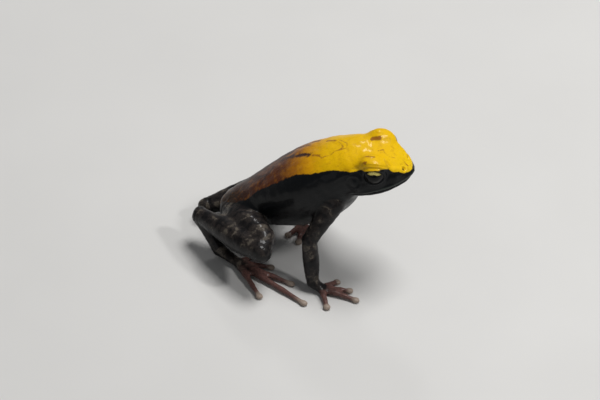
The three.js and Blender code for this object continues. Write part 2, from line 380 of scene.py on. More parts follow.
@dataclass
class Trunk:
    """Head and body as one form: rounded ovals across a curved spine.

    Attributes:
        stations: From vent to snout, each x and z of the middle, half width, reach above, reach
            below, and how square the upper and lower halves are.
        sides: Corners of each oval.
        rings_per_station: Ovals from one station to the next.
        spine_points: Places on the spine that measure() chooses from.
        slope_reach: Part of a station looked ahead and behind for the slope of the spine.
        side_cost: How much a place on the spine counts as farther for each millimetre off it.
    """

    stations: np.ndarray = field(
        default_factory=lambda: np.array(
            [
                (0.0, 3.9, 0.45, 0.35, 0.35, 2.0, 2.0),
                (0.5, 4.2, 1.4, 1.0, 1.0, 2.0, 2.0),
                (1.8, 4.9, 2.3, 1.5, 1.9, 2.0, 2.0),
                (3.6, 6.0, 2.9, 1.9, 3.3, 2.1, 2.0),
                (5.6, 7.6, 3.5, 2.2, 4.8, 2.2, 2.0),
                (7.8, 9.5, 4.1, 2.4, 5.8, 2.2, 2.0),
                (10.1, 11.2, 4.3, 2.6, 5.8, 2.2, 2.0),
                (12.4, 12.7, 4.0, 2.6, 5.0, 2.2, 2.1),
                (14.4, 13.7, 3.7, 2.45, 3.9, 2.3, 2.2),
                (16.2, 14.0, 3.95, 2.45, 3.1, 2.4, 2.2),
                (17.9, 14.1, 3.65, 2.3, 2.7, 2.5, 2.2),
                (19.4, 14.15, 2.85, 1.8, 2.0, 2.5, 2.2),
                (20.45, 14.2, 1.9, 1.15, 1.25, 2.4, 2.1),
                (21.1, 14.3, 1.1, 0.65, 0.65, 2.2, 2.0),
                (21.35, 14.35, 0.4, 0.25, 0.25, 2.0, 2.0),
            ]
        )
    )
    sides: int = 96
    rings_per_station: int = 9
    spine_points: int = 281
    slope_reach: float = 0.05
    side_cost: float = 0.02

    def rows(self, count: int) -> tuple[np.ndarray, np.ndarray]:
        """Stations read at even steps from vent to snout.

        Args:
            count: How many to read.

        Returns:
            The stations, one row each, and the slope of the spine at each, in radians.
        """
        last = len(self.stations) - 1
        t = np.linspace(0, last, count)
        behind = read_rows(self.stations, np.clip(t - self.slope_reach, 0, last))
        ahead = read_rows(self.stations, np.clip(t + self.slope_reach, 0, last))
        slope = np.arctan2(ahead[:, 1] - behind[:, 1], ahead[:, 0] - behind[:, 0])
        return read_rows(self.stations, t), slope

    def shell(self) -> Shell:
        """The surface: each oval's corner is (wide cos^(2/n) a, reach sin^(2/n) a), stood square
        to the spine.

        Returns:
            The closed shell.
        """
        row, slope = self.rows((len(self.stations) - 1) * self.rings_per_station + 1)
        turn = 2 * np.pi * np.arange(self.sides) / self.sides
        upper = np.sin(turn) > 0
        x, z, wide, above, below, top, bottom = (c[:, None] for c in row.T)
        power = 2 / np.where(upper, top, bottom)
        lift = np.where(upper, above, below) * signed_power(np.sin(turn)[None], power)
        across = -wide * signed_power(np.cos(turn)[None], power)
        rings = np.stack(
            [x - np.sin(slope)[:, None] * lift, across, z + np.cos(slope)[:, None] * lift], -1
        )
        first, last = self.stations[0], self.stations[-1]
        vent = np.array([first[0] - first[3] / 2, 0, first[1] - first[3] / 2])
        snout = np.array([last[0] + last[3] / 2, 0, last[1]])
        return wrapped_rings(vent, rings, snout)

    def measure(self, points: np.ndarray) -> tuple[np.ndarray, np.ndarray, np.ndarray]:
        """Where points lie in the trunk's own terms.

        Args:
            points: Places, one row each.

        Returns:
            Millimetres along the spine from the vent, millimetres above the spine and square to
            it, and about how far outside the trunk's surface.
        """
        row, slope = self.rows(self.spine_points)
        spine = row[:, :2]
        flat = points[:, [0, 2]]
        ways = np.stack([np.cos(slope), np.sin(slope)], 1)
        scores = (
            np.abs((flat - centre) @ way) + self.side_cost * distance(flat, centre)
            for centre, way in zip(spine, ways)
        )
        _, station = nearest(((score, k) for k, score in enumerate(scores)), len(points))
        station = station.astype(int)
        x, z = (flat - spine[station]).T
        angle = slope[station]
        ahead = x * np.cos(angle) + z * np.sin(angle)
        height = -x * np.sin(angle) + z * np.cos(angle)
        _, _, wide, above, below, top, bottom = row[station].T
        reach = np.where(height > 0, above, below)
        power = np.where(height > 0, top, bottom)
        across = np.abs(points[:, 1]) / wide
        gauge = (across**power + (np.abs(height) / reach) ** power) ** (1 / power)
        return run_along(spine)[station] + ahead, height, (gauge - 1) * np.minimum(wide, reach)


@dataclass
class Eye:
    """One eye: a dark wet ball with a gold line along the top of its iris.

    Attributes:
        side: Its flank.
        place: Its centre, with y measured outwards.
        radius: Of the ball.
        cornea: How far the clear front stands out beyond the ball.
        cornea_angle: Angle from the gaze at which that has fallen to 0.37, in radians.
        gaze: The direction it looks in, with y outwards.
        around: Corners round the ball.
        pupil: Half width and half height of the pupil, in degrees.
        iris: Half angle of the iris, in degrees.
        over_limit: The angle over the gaze that counts as 1 in the map of what lies above.
    """

    side: Side
    place: Triple = (17.5, 2.55, 15.1)
    radius: float = 1.25
    cornea: float = 0.1
    cornea_angle: float = 0.62
    gaze: Triple = (0.2, 0.97, 0.1)
    around: int = 72
    pupil: Pair = (30.0, 22.0)
    iris: float = 46.0
    over_limit: float = 30.0

    def centre(self) -> np.ndarray:
        """The middle of the ball."""
        return self.side.place(self.place)

    def axes(self) -> np.ndarray:
        """The eye's own directions.

        Returns:
            Rows: forwards across the eye, upwards over it, and out along its gaze.
        """
        out = self.side.place(self.gaze)
        out /= np.linalg.norm(out)
        forward = np.cross(np.array([0, 0, 1.0]), out) * -self.side.value
        forward /= np.linalg.norm(forward)
        upward = np.cross(forward, out)
        return np.stack([forward, upward * np.sign(upward[2]), out])

    def angles(self, points: np.ndarray) -> tuple[np.ndarray, np.ndarray, np.ndarray]:
        """The direction of points from the eye's middle.

        Args:
            points: Places, one row each.

        Returns:
            Degrees forwards across the gaze, degrees over it, and how far along the gaze the
            direction lies, from -1 to 1.
        """
        offset = points - self.centre()
        way = offset / np.linalg.norm(offset, axis=1)[:, None]
        forward, upward, out = self.axes() @ way.T
        across = np.degrees(np.arctan2(forward, np.maximum(out, 1e-3)))
        return across, np.degrees(np.arcsin(np.clip(upward, -1, 1))), out

    def shell(self) -> Shell:
        """A ball whose front swells by cornea bell(angle from the gaze).

        Returns:
            The closed shell.
        """
        globe = ball(np.zeros(3), (self.radius,) * 3, self.around)
        way = globe.points / np.linalg.norm(globe.points, axis=1)[:, None]
        angle = np.arccos(np.clip(way @ self.axes()[2], -1, 1))
        swollen = globe.points + way * (self.cornea * bell(angle, self.cornea_angle))[:, None]
        return Shell(swollen + self.centre(), globe.faces)

    def build(self, offset: Vector, finish: bpy.types.Material) -> None:
        """Makes the eye and lets it stand for its plain solid.

        Args:
            offset: The frog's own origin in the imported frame, in metres.
            finish: The eye's material.
        """
        shell = self.shell()
        across, over, out = self.angles(shell.points)
        maps = {
            "pupil": np.hypot(across / self.pupil[0], over / self.pupil[1]),
            "ring": np.degrees(np.arccos(np.clip(out, -1, 1))) / self.iris,
            "upper": np.clip(over / self.over_limit, -1, 1),
        }
        name = f"eye_{self.side.name.lower()}"
        piece = place_piece(
            f"{name}_detail", shell.mesh("eye"), shell.points, offset, maps, finish
        )
        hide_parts(name)


@dataclass
class Digit:
    """A finger or toe that lies along the floor and ends in a small rounded pad.

    Attributes:
        root: Where it leaves the palm or sole.
        tip: x and outward y of its end.
        side: Its flank.
        girth: Half thicknesses from root to tip.
        height: Of its tip above the floor.
        arch: How much higher its knuckle is than its tip.
        arch_at: The knuckle's place along it.
        pad: Half sizes of the pad.
        joints_at: Places of its joints along it.
        joint_swell: Width and swell of each joint, as shares of its length and of its girth.
    """

    root: np.ndarray
    tip: Pair
    side: Side
    girth: tuple[float, ...] = (0.45, 0.33, 0.27)
    height: float = 0.27
    arch: float = 0.22
    arch_at: float = 0.45
    pad: Triple = (0.5, 0.44, 0.34)
    joints_at: tuple[float, ...] = (0.36, 0.68)
    joint_swell: Pair = (0.05, 0.14)

    def end(self) -> np.ndarray:
        """The middle of the pad."""
        return self.side.place((*self.tip, self.height))

    def sweep(self) -> Sweep:
        """The finger from its root over a low arch to its tip, with a knuckle at each joint.

        Returns:
            The form, without its pad.
        """
        tip = self.end()
        knuckle = self.root + self.arch_at * (tip - self.root)
        knuckle[2] = self.height + self.arch
        swell = tuple((place, *self.joint_swell) for place in self.joints_at)
        return Sweep(
            np.stack([self.root, knuckle, tip]), self.girth, sides=20, steps=60, swell=swell
        )

    def shells(self) -> list[Shell]:
        """The finger and its pad."""
        return [self.sweep().shell(), ball(self.end(), self.pad, 24)]


@dataclass
class Limb:
    """An arm or a leg: long segments down to a hand or a foot, all on one side.

    Attributes:
        side: Its flank.
        joints: Joint places by name, with y measured outwards.
        tips: Fingertips or toe tips as x and y outwards.
        palm_girth: Half thickness of the palm or sole at its start and end.
        palm_flat: Height of the palm as a share of its width.
        palm_reach: How far the palm goes towards the digits, as a share of the way.
        palm_height: Of the palm's front end above the floor.
        digit_root: Height at which the digits start.
        upright: The direction that stays upright in the ovals of steep segments.
    """

    side: Side
    joints: dict[str, Triple]
    tips: tuple[Pair, ...]
    palm_girth: Pair
    palm_flat: float = 0.8
    palm_reach: float = 0.3
    palm_height: float = 0.55
    digit_root: float = 0.42
    upright: Triple = (0.0, 1.0, 0.0)

    def joint(self, name: str) -> np.ndarray:
        """A joint's place in the frog's frame."""
        return self.side.place(self.joints[name])

    def tip_places(self) -> np.ndarray:
        """The ends of the digits on the floor, one row each."""
        return np.stack([self.side.place((*tip, 0.0)) for tip in self.tips])

    def segments(self) -> list[Sweep]:
        """The long segments, from the body outwards."""
        raise NotImplementedError

    def palm_ends(self) -> tuple[np.ndarray, np.ndarray]:
        """Where the palm or sole starts, and the place on the floor that it points to."""
        raise NotImplementedError

    def palm(self) -> Sweep:
        """The palm or sole, from its start part of the way to where it points.

        Returns:
            The form.
        """
        start, ahead = self.palm_ends()
        front = start + self.palm_reach * (ahead - start)
        front[2] = self.palm_height
        return Sweep(np.stack([start, front]), self.palm_girth, flat=self.palm_flat, steps=20)

    def digits(self) -> list[Digit]:
        """The fingers or toes, from the innermost outwards.

        Returns:
            One digit for each tip, all from the front of the palm.
        """
        root = self.palm().joints[1].copy()
        root[2] = self.digit_root
        return [Digit(root, tip, self.side) for tip in self.tips]

    def shells(self) -> list[Shell]:
        """Every closed surface of the limb.

        Returns:
            Long segments, palm, digits and pads.
        """
        parts = [s.shell() for s in (*self.segments(), self.palm())]
        for digit in self.digits():
            parts += digit.shells()
        return parts


@dataclass
class Arm(Limb):
    """Upper arm, forearm and four-fingered hand.

    Attributes:
        upper_girth: Half thicknesses of the upper arm from the shoulder down.
        fore_girth: Half thicknesses of the forearm from the elbow down.
    """

    upper_girth: tuple[float, ...] = (1.25, 1.05, 0.9)
    fore_girth: tuple[float, ...] = (0.85, 0.95, 0.7)

    @classmethod
    def pair(cls) -> list["Arm"]:
        """Both arms: the right one stands forward, and the left hand is set under the chest.

        Returns:
            The right arm and the left arm.
        """
        shoulder, palm_girth = (13.4, 3.2, 10.2), (0.75, 0.6)
        right = cls(
            Side.RIGHT,
            {"shoulder": shoulder, "elbow": (11.3, 5.2, 6.0), "wrist": (12.2, 6.6, 1.15)},
            ((14.6, 4.9), (16.3, 5.9), (17.3, 7.2), (14.5, 9.2)),
            palm_girth,
        )
        left = cls(
            Side.LEFT,
            {"shoulder": shoulder, "elbow": (10.2, 5.4, 6.2), "wrist": (8.4, 4.0, 1.15)},
            ((7.5, 1.2), (8.9, 0.4), (10.4, 0.2), (10.7, 1.9)),
            palm_girth,
        )
        return [right, left]

    def segments(self) -> list[Sweep]:
        """Upper arm and forearm.

        Returns:
            Both forms.
        """
        shoulder, elbow, wrist = (self.joint(n) for n in ("shoulder", "elbow", "wrist"))
        return [
            Sweep(np.stack([shoulder, elbow]), self.upper_girth, level=self.upright),
            Sweep(np.stack([elbow, wrist]), self.fore_girth, level=self.upright),
        ]

    def palm_ends(self) -> tuple[np.ndarray, np.ndarray]:
        """From the wrist towards the middle of the fingertips."""
        return self.joint("wrist"), self.tip_places().mean(0)


@dataclass
class Leg(Limb):
    """Thigh, shank, tarsus and five-toed foot, folded up beside the body.

    Attributes:
        thigh_girth: Half thicknesses of the thigh from the hip to the knee.
        shank_girth: Half thicknesses of the shank from the knee to the heel.
        tarsus_girth: Half thicknesses of the tarsus from the heel to the sole.
        palm_reach, palm_height: As for any limb.
        bend_girth: Half thicknesses of the bend of the knee.
        longest_toe: Number of the toe that the sole points to.
    """

    palm_reach: float = 0.22
    palm_height: float = 0.6
    thigh_girth: tuple[float, ...] = (1.4, 1.8, 1.75, 1.3)
    shank_girth: tuple[float, ...] = (1.25, 1.5, 1.3, 0.9)
    tarsus_girth: tuple[float, ...] = (0.95, 0.8, 0.8)
    bend_girth: tuple[float, ...] = (1.25, 1.2)
    longest_toe: int = 3

    @classmethod
    def pair(cls) -> list["Leg"]:
        """Both legs, folded: the right heel is lifted and the left one is near the floor.

        Returns:
            The right leg and the left leg.
        """
        hip, palm_girth = (1.4, 1.0, 4.3), (0.72, 0.6)
        right = cls(
            Side.RIGHT,
            {
                "hip": hip,
                "knee": (6.4, 6.6, 6.2),
                "knee_below": (6.6, 8.3, 5.7),
                "heel": (-1.9, 2.3, 3.9),
                "sole": (0.9, 4.1, 0.95),
            },
            ((4.9, 3.2), (7.0, 4.6), (9.8, 6.6), (11.9, 9.3), (6.9, 9.6)),
            palm_girth,
        )
        left = cls(
            Side.LEFT,
            {
                "hip": hip,
                "knee": (6.8, 5.5, 5.0),
                "knee_below": (7.0, 7.0, 4.4),
                "heel": (-2.2, 1.5, 2.0),
                "sole": (0.9, 4.0, 0.95),
            },
            ((4.7, 3.3), (6.9, 4.6), (9.7, 6.4), (11.8, 8.8), (7.2, 9.5)),
            palm_girth,
        )
        return [right, left]

    def segments(self) -> list[Sweep]:
        """Thigh, shank and tarsus.

        Returns:
            The three forms.
        """
        hip, knee, below, heel, sole = (
            self.joint(n) for n in ("hip", "knee", "knee_below", "heel", "sole")
        )
        return [
            Sweep(np.stack([hip, knee]), self.thigh_girth),
            Sweep(np.stack([below, heel]), self.shank_girth),
            Sweep(np.stack([heel, sole]), self.tarsus_girth, level=self.upright),
        ]

    def shells(self) -> list[Shell]:
        """Every closed surface of the leg, and the bend of the knee between its two long forms."""
        bend = Sweep(np.stack([self.joint("knee"), self.joint("knee_below")]), self.bend_girth)
        return [*super().shells(), bend.shell()]

    def palm_ends(self) -> tuple[np.ndarray, np.ndarray]:
        """From the end of the tarsus towards the longest toe."""
        return self.joint("sole"), self.tip_places()[self.longest_toe]


class Surface:
    """A fine mesh that is worked on as whole arrays, in millimetres.

    Attributes:
        mesh: The Blender mesh that holds its corners and faces.
        points: Corner places, one row each; commit() writes them back.
        PULL: Part of the way to their neighbours' average that corners go in one round.
        ROUNDS_PER_LOOK: Rounds from one look at the outward directions to the next.
    """

    PULL: float = 0.5
    ROUNDS_PER_LOOK: int = 5

    def __init__(self, mesh: bpy.types.Mesh) -> None:
        """Reads the corner places of a mesh."""
        self.mesh = mesh
        self.points = self._read_points()

    @classmethod
    def fused(cls, shells: list[Shell], voxel: float) -> "Surface":
        """One closed surface round every shell, from even cubes.

        Args:
            shells: Closed shells, which may cross one another.
            voxel: Size of the cubes.

        Returns:
            The surface of the whole.
        """
        rough = Shell.joined(shells).mesh("rough")
        holder = bpy.data.objects.new("rough", rough)
        bpy.context.scene.collection.objects.link(holder)
        remesh = holder.modifiers.new("fuse", "REMESH")
        remesh.mode = "VOXEL"
        remesh.voxel_size = voxel
        graph = bpy.context.evaluated_depsgraph_get()
        mesh = bpy.data.meshes.new_from_object(holder.evaluated_get(graph), depsgraph=graph)
        bpy.data.objects.remove(holder)
        bpy.data.meshes.remove(rough)
        return cls(mesh)

    def _read_points(self) -> np.ndarray:
        """Reads the mesh.

        Returns:
            Its corner places, one row each.
        """
        flat = np.empty(len(self.mesh.vertices) * 3)
        self.mesh.vertices.foreach_get("co", flat)
        return flat.reshape(-1, 3)

    def commit(self) -> None:
        """Writes the corner places into the mesh."""
        self.mesh.vertices.foreach_set("co", self.points.astype(np.float32).ravel())
        self.mesh.update()

    def normals(self) -> np.ndarray:
        """Outward unit directions at the corners, one row each.

        Returns:
            The directions for the places as they are now.
        """
        self.commit()
        flat = np.empty(len(self.points) * 3, np.float32)
        self.mesh.vertex_normals.foreach_get("vector", flat)
        return flat.reshape(-1, 3).astype(float)

    def push(self, heights: np.ndarray) -> None:
        """Moves each corner outwards by its own height."""
        self.points = self.points + self.normals() * heights[:, None]

    def edges(self) -> np.ndarray:
        """Reads the edges.

        Returns:
            The two corner numbers of each edge, one row each.
        """
        flat = np.empty(len(self.mesh.edges) * 2, np.int32)
        self.mesh.edges.foreach_get("vertices", flat)
        return flat.reshape(-1, 2)

    def refine(self, inside: np.ndarray) -> None:
        """Halves every edge whose two ends are inside, so that the faces there are a quarter.

        Args:
            inside: True or False for each corner.
        """
        self.commit()
        work = bmesh.new()
        work.from_mesh(self.mesh)
        work.edges.ensure_lookup_table()
        chosen = np.nonzero(inside[self.edges()].all(axis=1))[0]
        bmesh.ops.subdivide_edges(
            work, edges=[work.edges[k] for k in chosen], cuts=1, use_grid_fill=True
        )
        bmesh.ops.triangulate(work, faces=[f for f in work.faces if len(f.verts) > 4])
        work.to_mesh(self.mesh)
        work.free()
        self.points = self._read_points()

    def relax(
        self, rounds: int, weight: np.ndarray | float = 1.0, fill_only: bool = False
    ) -> None:
        """Moves corners half way to the average of their neighbours, again and again.

        Args:
            rounds: How many steps to take.
            weight: How far each corner may follow, from 0 to 1.
            fill_only: Move outwards only, which fills creases and leaves ridges.
        """
        size = len(self.points)
        weight = np.broadcast_to(weight, size)
        edges = self.edges()
        edges = edges[(weight > 1e-3)[edges].any(axis=1)]
        a, b = edges.T
        neighbours = np.maximum(np.bincount(edges.ravel(), minlength=size), 1)
        share = (self.PULL * weight / neighbours)[:, None]
        for step in range(rounds):
            if fill_only and step % self.ROUNDS_PER_LOOK == 0:
                out = self.normals()
            span = self.points[b] - self.points[a]
            pull = np.stack(
                [
                    np.bincount(a, span[:, k], size) - np.bincount(b, span[:, k], size)
                    for k in range(3)
                ],
                1,
            )
            if fill_only:
                pull = out * np.clip(np.sum(pull * out, axis=1), 0, None)[:, None]
            self.points += pull * share


@dataclass(frozen=True)
class Stroke:
    """A brown mark on the back, as a line in plan with a half width.

    Attributes:
        path: x forwards and y to the left of each point of the line.
        half_width: Of the stroke.
    """

    path: tuple[Pair, ...]
    half_width: float

    def outside(self, points: np.ndarray) -> np.ndarray:
        """The distance to the nearest part of the line, seen along z, less the half width.

        Args:
            points: Places, one row each.

        Returns:
            Millimetres outside the stroke, and less than 0 inside it.
        """
        away = np.full(len(points), FAR_OFF)
        for start, end in zip(self.path, self.path[1:]):
            span = np.subtract(end, start)
            offset = points[:, :2] - start
            t = np.clip(offset @ span / (span @ span), 0, 1)
            away = np.minimum(away, np.linalg.norm(offset - t[:, None] * span, axis=1))
        return away - self.half_width


@dataclass(frozen=True)
class Pattern:
    """The drawing of the coat: the lower edge of the bright back, and the brown marks on it.

    Attributes:
        border: The edge, as millimetres along the spine from the vent and height above the spine.
        marks: Brown marks on back and head.
        saddle: The dark saddle over the rump and its streaks forward on to the back.
    """

    border: tuple[Pair, ...] = (
        (0.0, 0.6), (3.0, 1.25), (5.0, 1.4), (7.0, 1.8),
        (9.7, 1.9), (12.2, 2.1), (14.0, 1.85), (16.2, 1.6),
        (17.5, 1.37), (18.7, 1.4), (19.9, 1.75), (21.0, 2.06),
        (21.5, 2.05), (22.0, 1.75), (22.5, 1.35), (23.3, 0.95),
        (24.2, 0.4), (26.0, -0.3),
    )
    marks: tuple[Stroke, ...] = (
        Stroke(((11.3, 1.4), (12.3, 1.0)), 0.13),
        Stroke(((10.2, -0.85), (11.0, -1.15)), 0.15),
        Stroke(((11.0, -1.2), (11.45, -1.6), (12.3, -1.4), (12.7, -0.9), (13.2, -0.8)), 0.05),
        Stroke(((13.2, -0.8), (13.45, -0.3), (13.05, 0.4), (12.65, 0.7)), 0.05),
        Stroke(((12.8, 1.05), (13.7, 0.35), (13.95, -0.5), (13.25, -0.8)), 0.03),
        Stroke(((16.35, -2.1), (17.3, -2.15)), 0.13),
        Stroke(((16.4, 1.3), (17.1, 1.4)), 0.24),
        Stroke(((17.4, -0.45), (17.9, 0.0), (18.1, -0.4), (18.7, -0.7), (19.3, -0.5)), 0.04),
        Stroke(((18.8, 0.5), (19.2, 0.0)), 0.05),
        Stroke(((20.3, -0.15), (20.8, -0.35)), 0.08),
        Stroke(((16.25, -2.95), (16.6, -3.05)), 0.06),
    )
    saddle: tuple[Stroke, ...] = (
        Stroke(((1.5, 0.4), (3.4, 0.9), (4.8, 1.4)), 0.5),
        Stroke(((4.6, 1.6), (5.8, 1.9), (7.2, 1.9)), 0.35),
        Stroke(((4.7, -1.5), (5.2, -0.6), (5.8, 0.4), (6.4, 0.9)), 0.16),
        Stroke(((6.4, 0.9), (7.4, 0.6), (8.6, 0.0), (9.8, -0.55)), 0.22),
        Stroke(((6.6, 2.4), (8.0, 2.2), (9.2, 1.7)), 0.14),
        Stroke(((3.6, -0.2), (4.6, -0.5), (5.4, -0.4)), 0.16),
        Stroke(((8.6, 2.6), (10.2, 2.2)), 0.10),
    )

    def maps(
        self, points: np.ndarray, along: np.ndarray, height: np.ndarray
    ) -> dict[str, np.ndarray]:
        """The drawing as distances, which the finish turns into ragged edges.

        Args:
            points: Places, one row each.
            along: Millimetres along the spine of each.
            height: Millimetres above the spine of each.

        Returns:
            along: as given.
            border: millimetres above the edge between bright back and black side.
            mark: millimetres outside the nearest brown mark.
            saddle: millimetres outside the dark saddle over the rump.
        """
        return {
            "along": along,
            "border": height - np.interp(along, *np.array(self.border).T),
            "mark": np.min([s.outside(points) for s in self.marks], axis=0),
            "saddle": np.min([s.outside(points) for s in self.saddle], axis=0),
        }


@dataclass
class Mouth:
    """The line between the lips: a curve in side view with a groove sunk along it.

    Attributes:
        curve: x and z from the corner of the mouth to the tip of the snout, and beyond it.
        groove: Depth and width of the groove between the lips.
        lips: Height over the line, bulge and width of the upper and the lower lip.
        corner: How far behind and ahead of its corner the mouth fades in.
        pale_height: Height over the line of the middle of the pale line on the upper lip.
        pale_thinning: How much each half of the pale line thins towards the rear.
        pale_rear: x where it starts to thin, and x where it is thinnest.
        fine: Half height of the strip of fine faces, and how much more it is with a margin of 1.
        fine_rear: How far the strip runs past the corner, and as much again with the margin.
    """

    curve: tuple[Pair, ...] = (
        (15.6, 12.25), (16.5, 12.52), (17.5, 12.83), (18.6, 13.1),
        (19.6, 13.38), (20.6, 13.68), (21.6, 13.98), (22.6, 14.2),
    )
    groove: Pair = (0.2, 0.16)
    lips: tuple[Triple, ...] = ((0.32, 0.09, 0.22), (-0.3, 0.04, 0.2))
    corner: Pair = (0.5, 0.7)
    pale_height: float = 0.3
    pale_thinning: float = 0.16
    pale_rear: Pair = (18.6, 16.4)
    fine: Pair = (0.45, 0.4)
    fine_rear: float = 0.3

    def above(self, points: np.ndarray) -> np.ndarray:
        """Millimetres above the line between the lips."""
        return points[:, 2] - np.interp(points[:, 0], *np.array(self.curve).T)

    def reach(self, points: np.ndarray) -> np.ndarray:
        """1 where the mouth runs, falling to 0 behind its corner."""
        x = self.curve[0][0]
        return smooth_step(x - self.corner[0], x + self.corner[1], points[:, 0])

    def off_pale_line(self, points: np.ndarray) -> np.ndarray:
        """Where the pale line on the upper lip lies, which thins out to the rear.

        Args:
            points: Places, one row each.

        Returns:
            Millimetres off the middle of the line, and more where it is thin or has ended.
        """
        thin = self.pale_thinning * smooth_step(*self.pale_rear, points[:, 0])
        off = np.abs(self.above(points) - self.pale_height)
        return off + thin + FAR_OFF * (1 - self.reach(points))

    def relief(self, points: np.ndarray) -> np.ndarray:
        """The groove and both lips, each a bell of the height over the line.

        Args:
            points: Places, one row each.

        Returns:
            Millimetres to move each point outwards.
        """
        above = self.above(points)
        depth, width = self.groove
        rise = -depth * bell(above, width)
        for height, bulge, breadth in self.lips:
            rise += bulge * bell(above - height, breadth)
        return rise * self.reach(points)

    def near(self, points: np.ndarray, margin: float) -> np.ndarray:
        """Which points lie in the strip of fine faces, for a margin from 0 to 1."""
        strip = np.abs(self.above(points)) < self.fine[0] + self.fine[1] * margin
        return strip & (points[:, 0] > self.curve[0][0] - self.fine_rear * (1 + margin))


@dataclass
class Nostril:
    """One nostril: a small round pit near the tip of the snout, with a low raised rim.

    Attributes:
        side: Its flank.
        place: Its middle, with y measured outwards.
        pit: Depth and width of the pit.
        rim: Radius, width and height of the rim.
        fine: Radius of the fine faces, and how much more it is with a margin of 1.
    """

    side: Side
    place: Triple = (20.5, 1.05, 15.1)
    pit: Pair = (0.26, 0.2)
    rim: Triple = (0.34, 0.12, 0.06)
    fine: Pair = (0.4, 0.3)

    def off(self, points: np.ndarray) -> np.ndarray:
        """How far points are from its middle."""
        return distance(points, self.side.place(self.place))

    def relief(self, points: np.ndarray) -> np.ndarray:
        """The rim less the pit, each a bell of the distance from the middle.

        Args:
            points: Places, one row each.

        Returns:
            Millimetres to move each point outwards.
        """
        gap = self.off(points)
        radius, width, height = self.rim
        depth, breadth = self.pit
        return height * bell(gap - radius, width) - depth * bell(gap, breadth)

    def near(self, points: np.ndarray, margin: float) -> np.ndarray:
        """Which points lie among the fine faces, for a margin from 0 to 1."""
        return self.off(points) < self.fine[0] + self.fine[1] * margin


@dataclass
class Eardrum:
    """One eardrum, faint and round behind the eye, and the fold of skin that runs over it.

    Attributes:
        side: Its flank.
        place: x and z of its middle.
        radius: Of the drum.
        rim: Radius beyond the drum's, width and height of the rim round it.
        sink: Depth of the drum, and how far outside and inside its radius the wall runs.
        dome: Height and width of the low dome in its middle.
        inmost: The least outward y of the skin that it shapes.
        fine: How far past its radius the fine faces reach.
        fold: Height and width of the fold over it.
        fold_start: x where the fold's curve starts.
        fold_run: How far forwards the curve runs.
        fold_top: z of the curve's front end.
        fold_drop: How much lower its rear end is.
        fold_rise, fold_fall: x where the fold rises out of the skin and where it sinks into it.
    """

    side: Side
    place: Pair = (15.45, 14.1)
    radius: float = 0.72
    rim: Triple = (0.12, 0.14, 0.03)
    sink: Triple = (0.07, 0.06, 0.14)
    dome: Pair = (0.03, 0.35)
    inmost: float = 1.5
    fine: float = 0.4
    fold: Pair = (0.07, 0.2)
    fold_start: float = 13.0
    fold_run: float = 3.2
    fold_top: float = 15.3
    fold_drop: float = 1.9
    fold_rise: Pair = (12.6, 13.6)
    fold_fall: Pair = (16.6, 15.9)

    def off(self, points: np.ndarray) -> np.ndarray:
        """How far points are from its middle in side view."""
        return np.hypot(*(points[:, [0, 2]] - self.place).T)

    def on_flank(self, points: np.ndarray) -> np.ndarray:
        """Which points lie on its own flank."""
        return points[:, 1] * self.side.value > self.inmost

    def relief(self, points: np.ndarray) -> np.ndarray:
        """The rim, the sunk drum with its dome, and the fold along top - drop (1 - t)².

        Args:
            points: Places, one row each.

        Returns:
            Millimetres to move each point outwards.
        """
        ring = self.off(points)
        beyond, width, height = self.rim
        depth, outer, inner = self.sink
        rise = height * bell(ring - self.radius - beyond, width)
        rise -= depth * smooth_step(self.radius + outer, self.radius - inner, ring)
        rise += self.dome[0] * bell(ring, self.dome[1])
        x, _, z = points.T
        t = np.clip((x - self.fold_start) / self.fold_run, 0, 1)
        over = bell(z - self.fold_top + self.fold_drop * (1 - t) ** 2, self.fold[1])
        rise += self.fold[0] * over * between(x, self.fold_rise, self.fold_fall)
        return np.where(self.on_flank(points), rise, 0)

    def near(self, points: np.ndarray, margin: float) -> np.ndarray:
        """Which points lie among the fine faces, for a margin from 0 to 1."""
        return self.on_flank(points) & (self.off(points) < (self.radius + self.fine) * margin)


@dataclass
class Canthus:
    """The ridge that runs from each eye to its nostril.

    Attributes:
        line: x at the rear and front of the ridge, and the outward y there.
        level: Height of its middle.
        height: Of the ridge.
        widths: Its width across, and upwards.
        rise, fall: x where it rises behind and falls in front.
    """

    line: tuple[Pair, Pair] = ((18.8, 20.9), (2.3, 0.95))
    level: float = 15.45
    height: float = 0.08
    widths: Pair = (0.25, 0.5)
    rise: Pair = (18.6, 19.2)
    fall: Pair = (21.2, 20.6)

    def relief(self, points: np.ndarray) -> np.ndarray:
        """The ridge on both sides: a bell across it times a bell of the height.

        Args:
            points: Places, one row each.

        Returns:
            Millimetres to move each point outwards.
        """
        x, y, z = points.T
        across = bell(np.abs(y) - np.interp(x, *self.line), self.widths[0])
        upright = bell(z - self.level, self.widths[1])
        return self.height * across * upright * between(x, self.rise, self.fall)


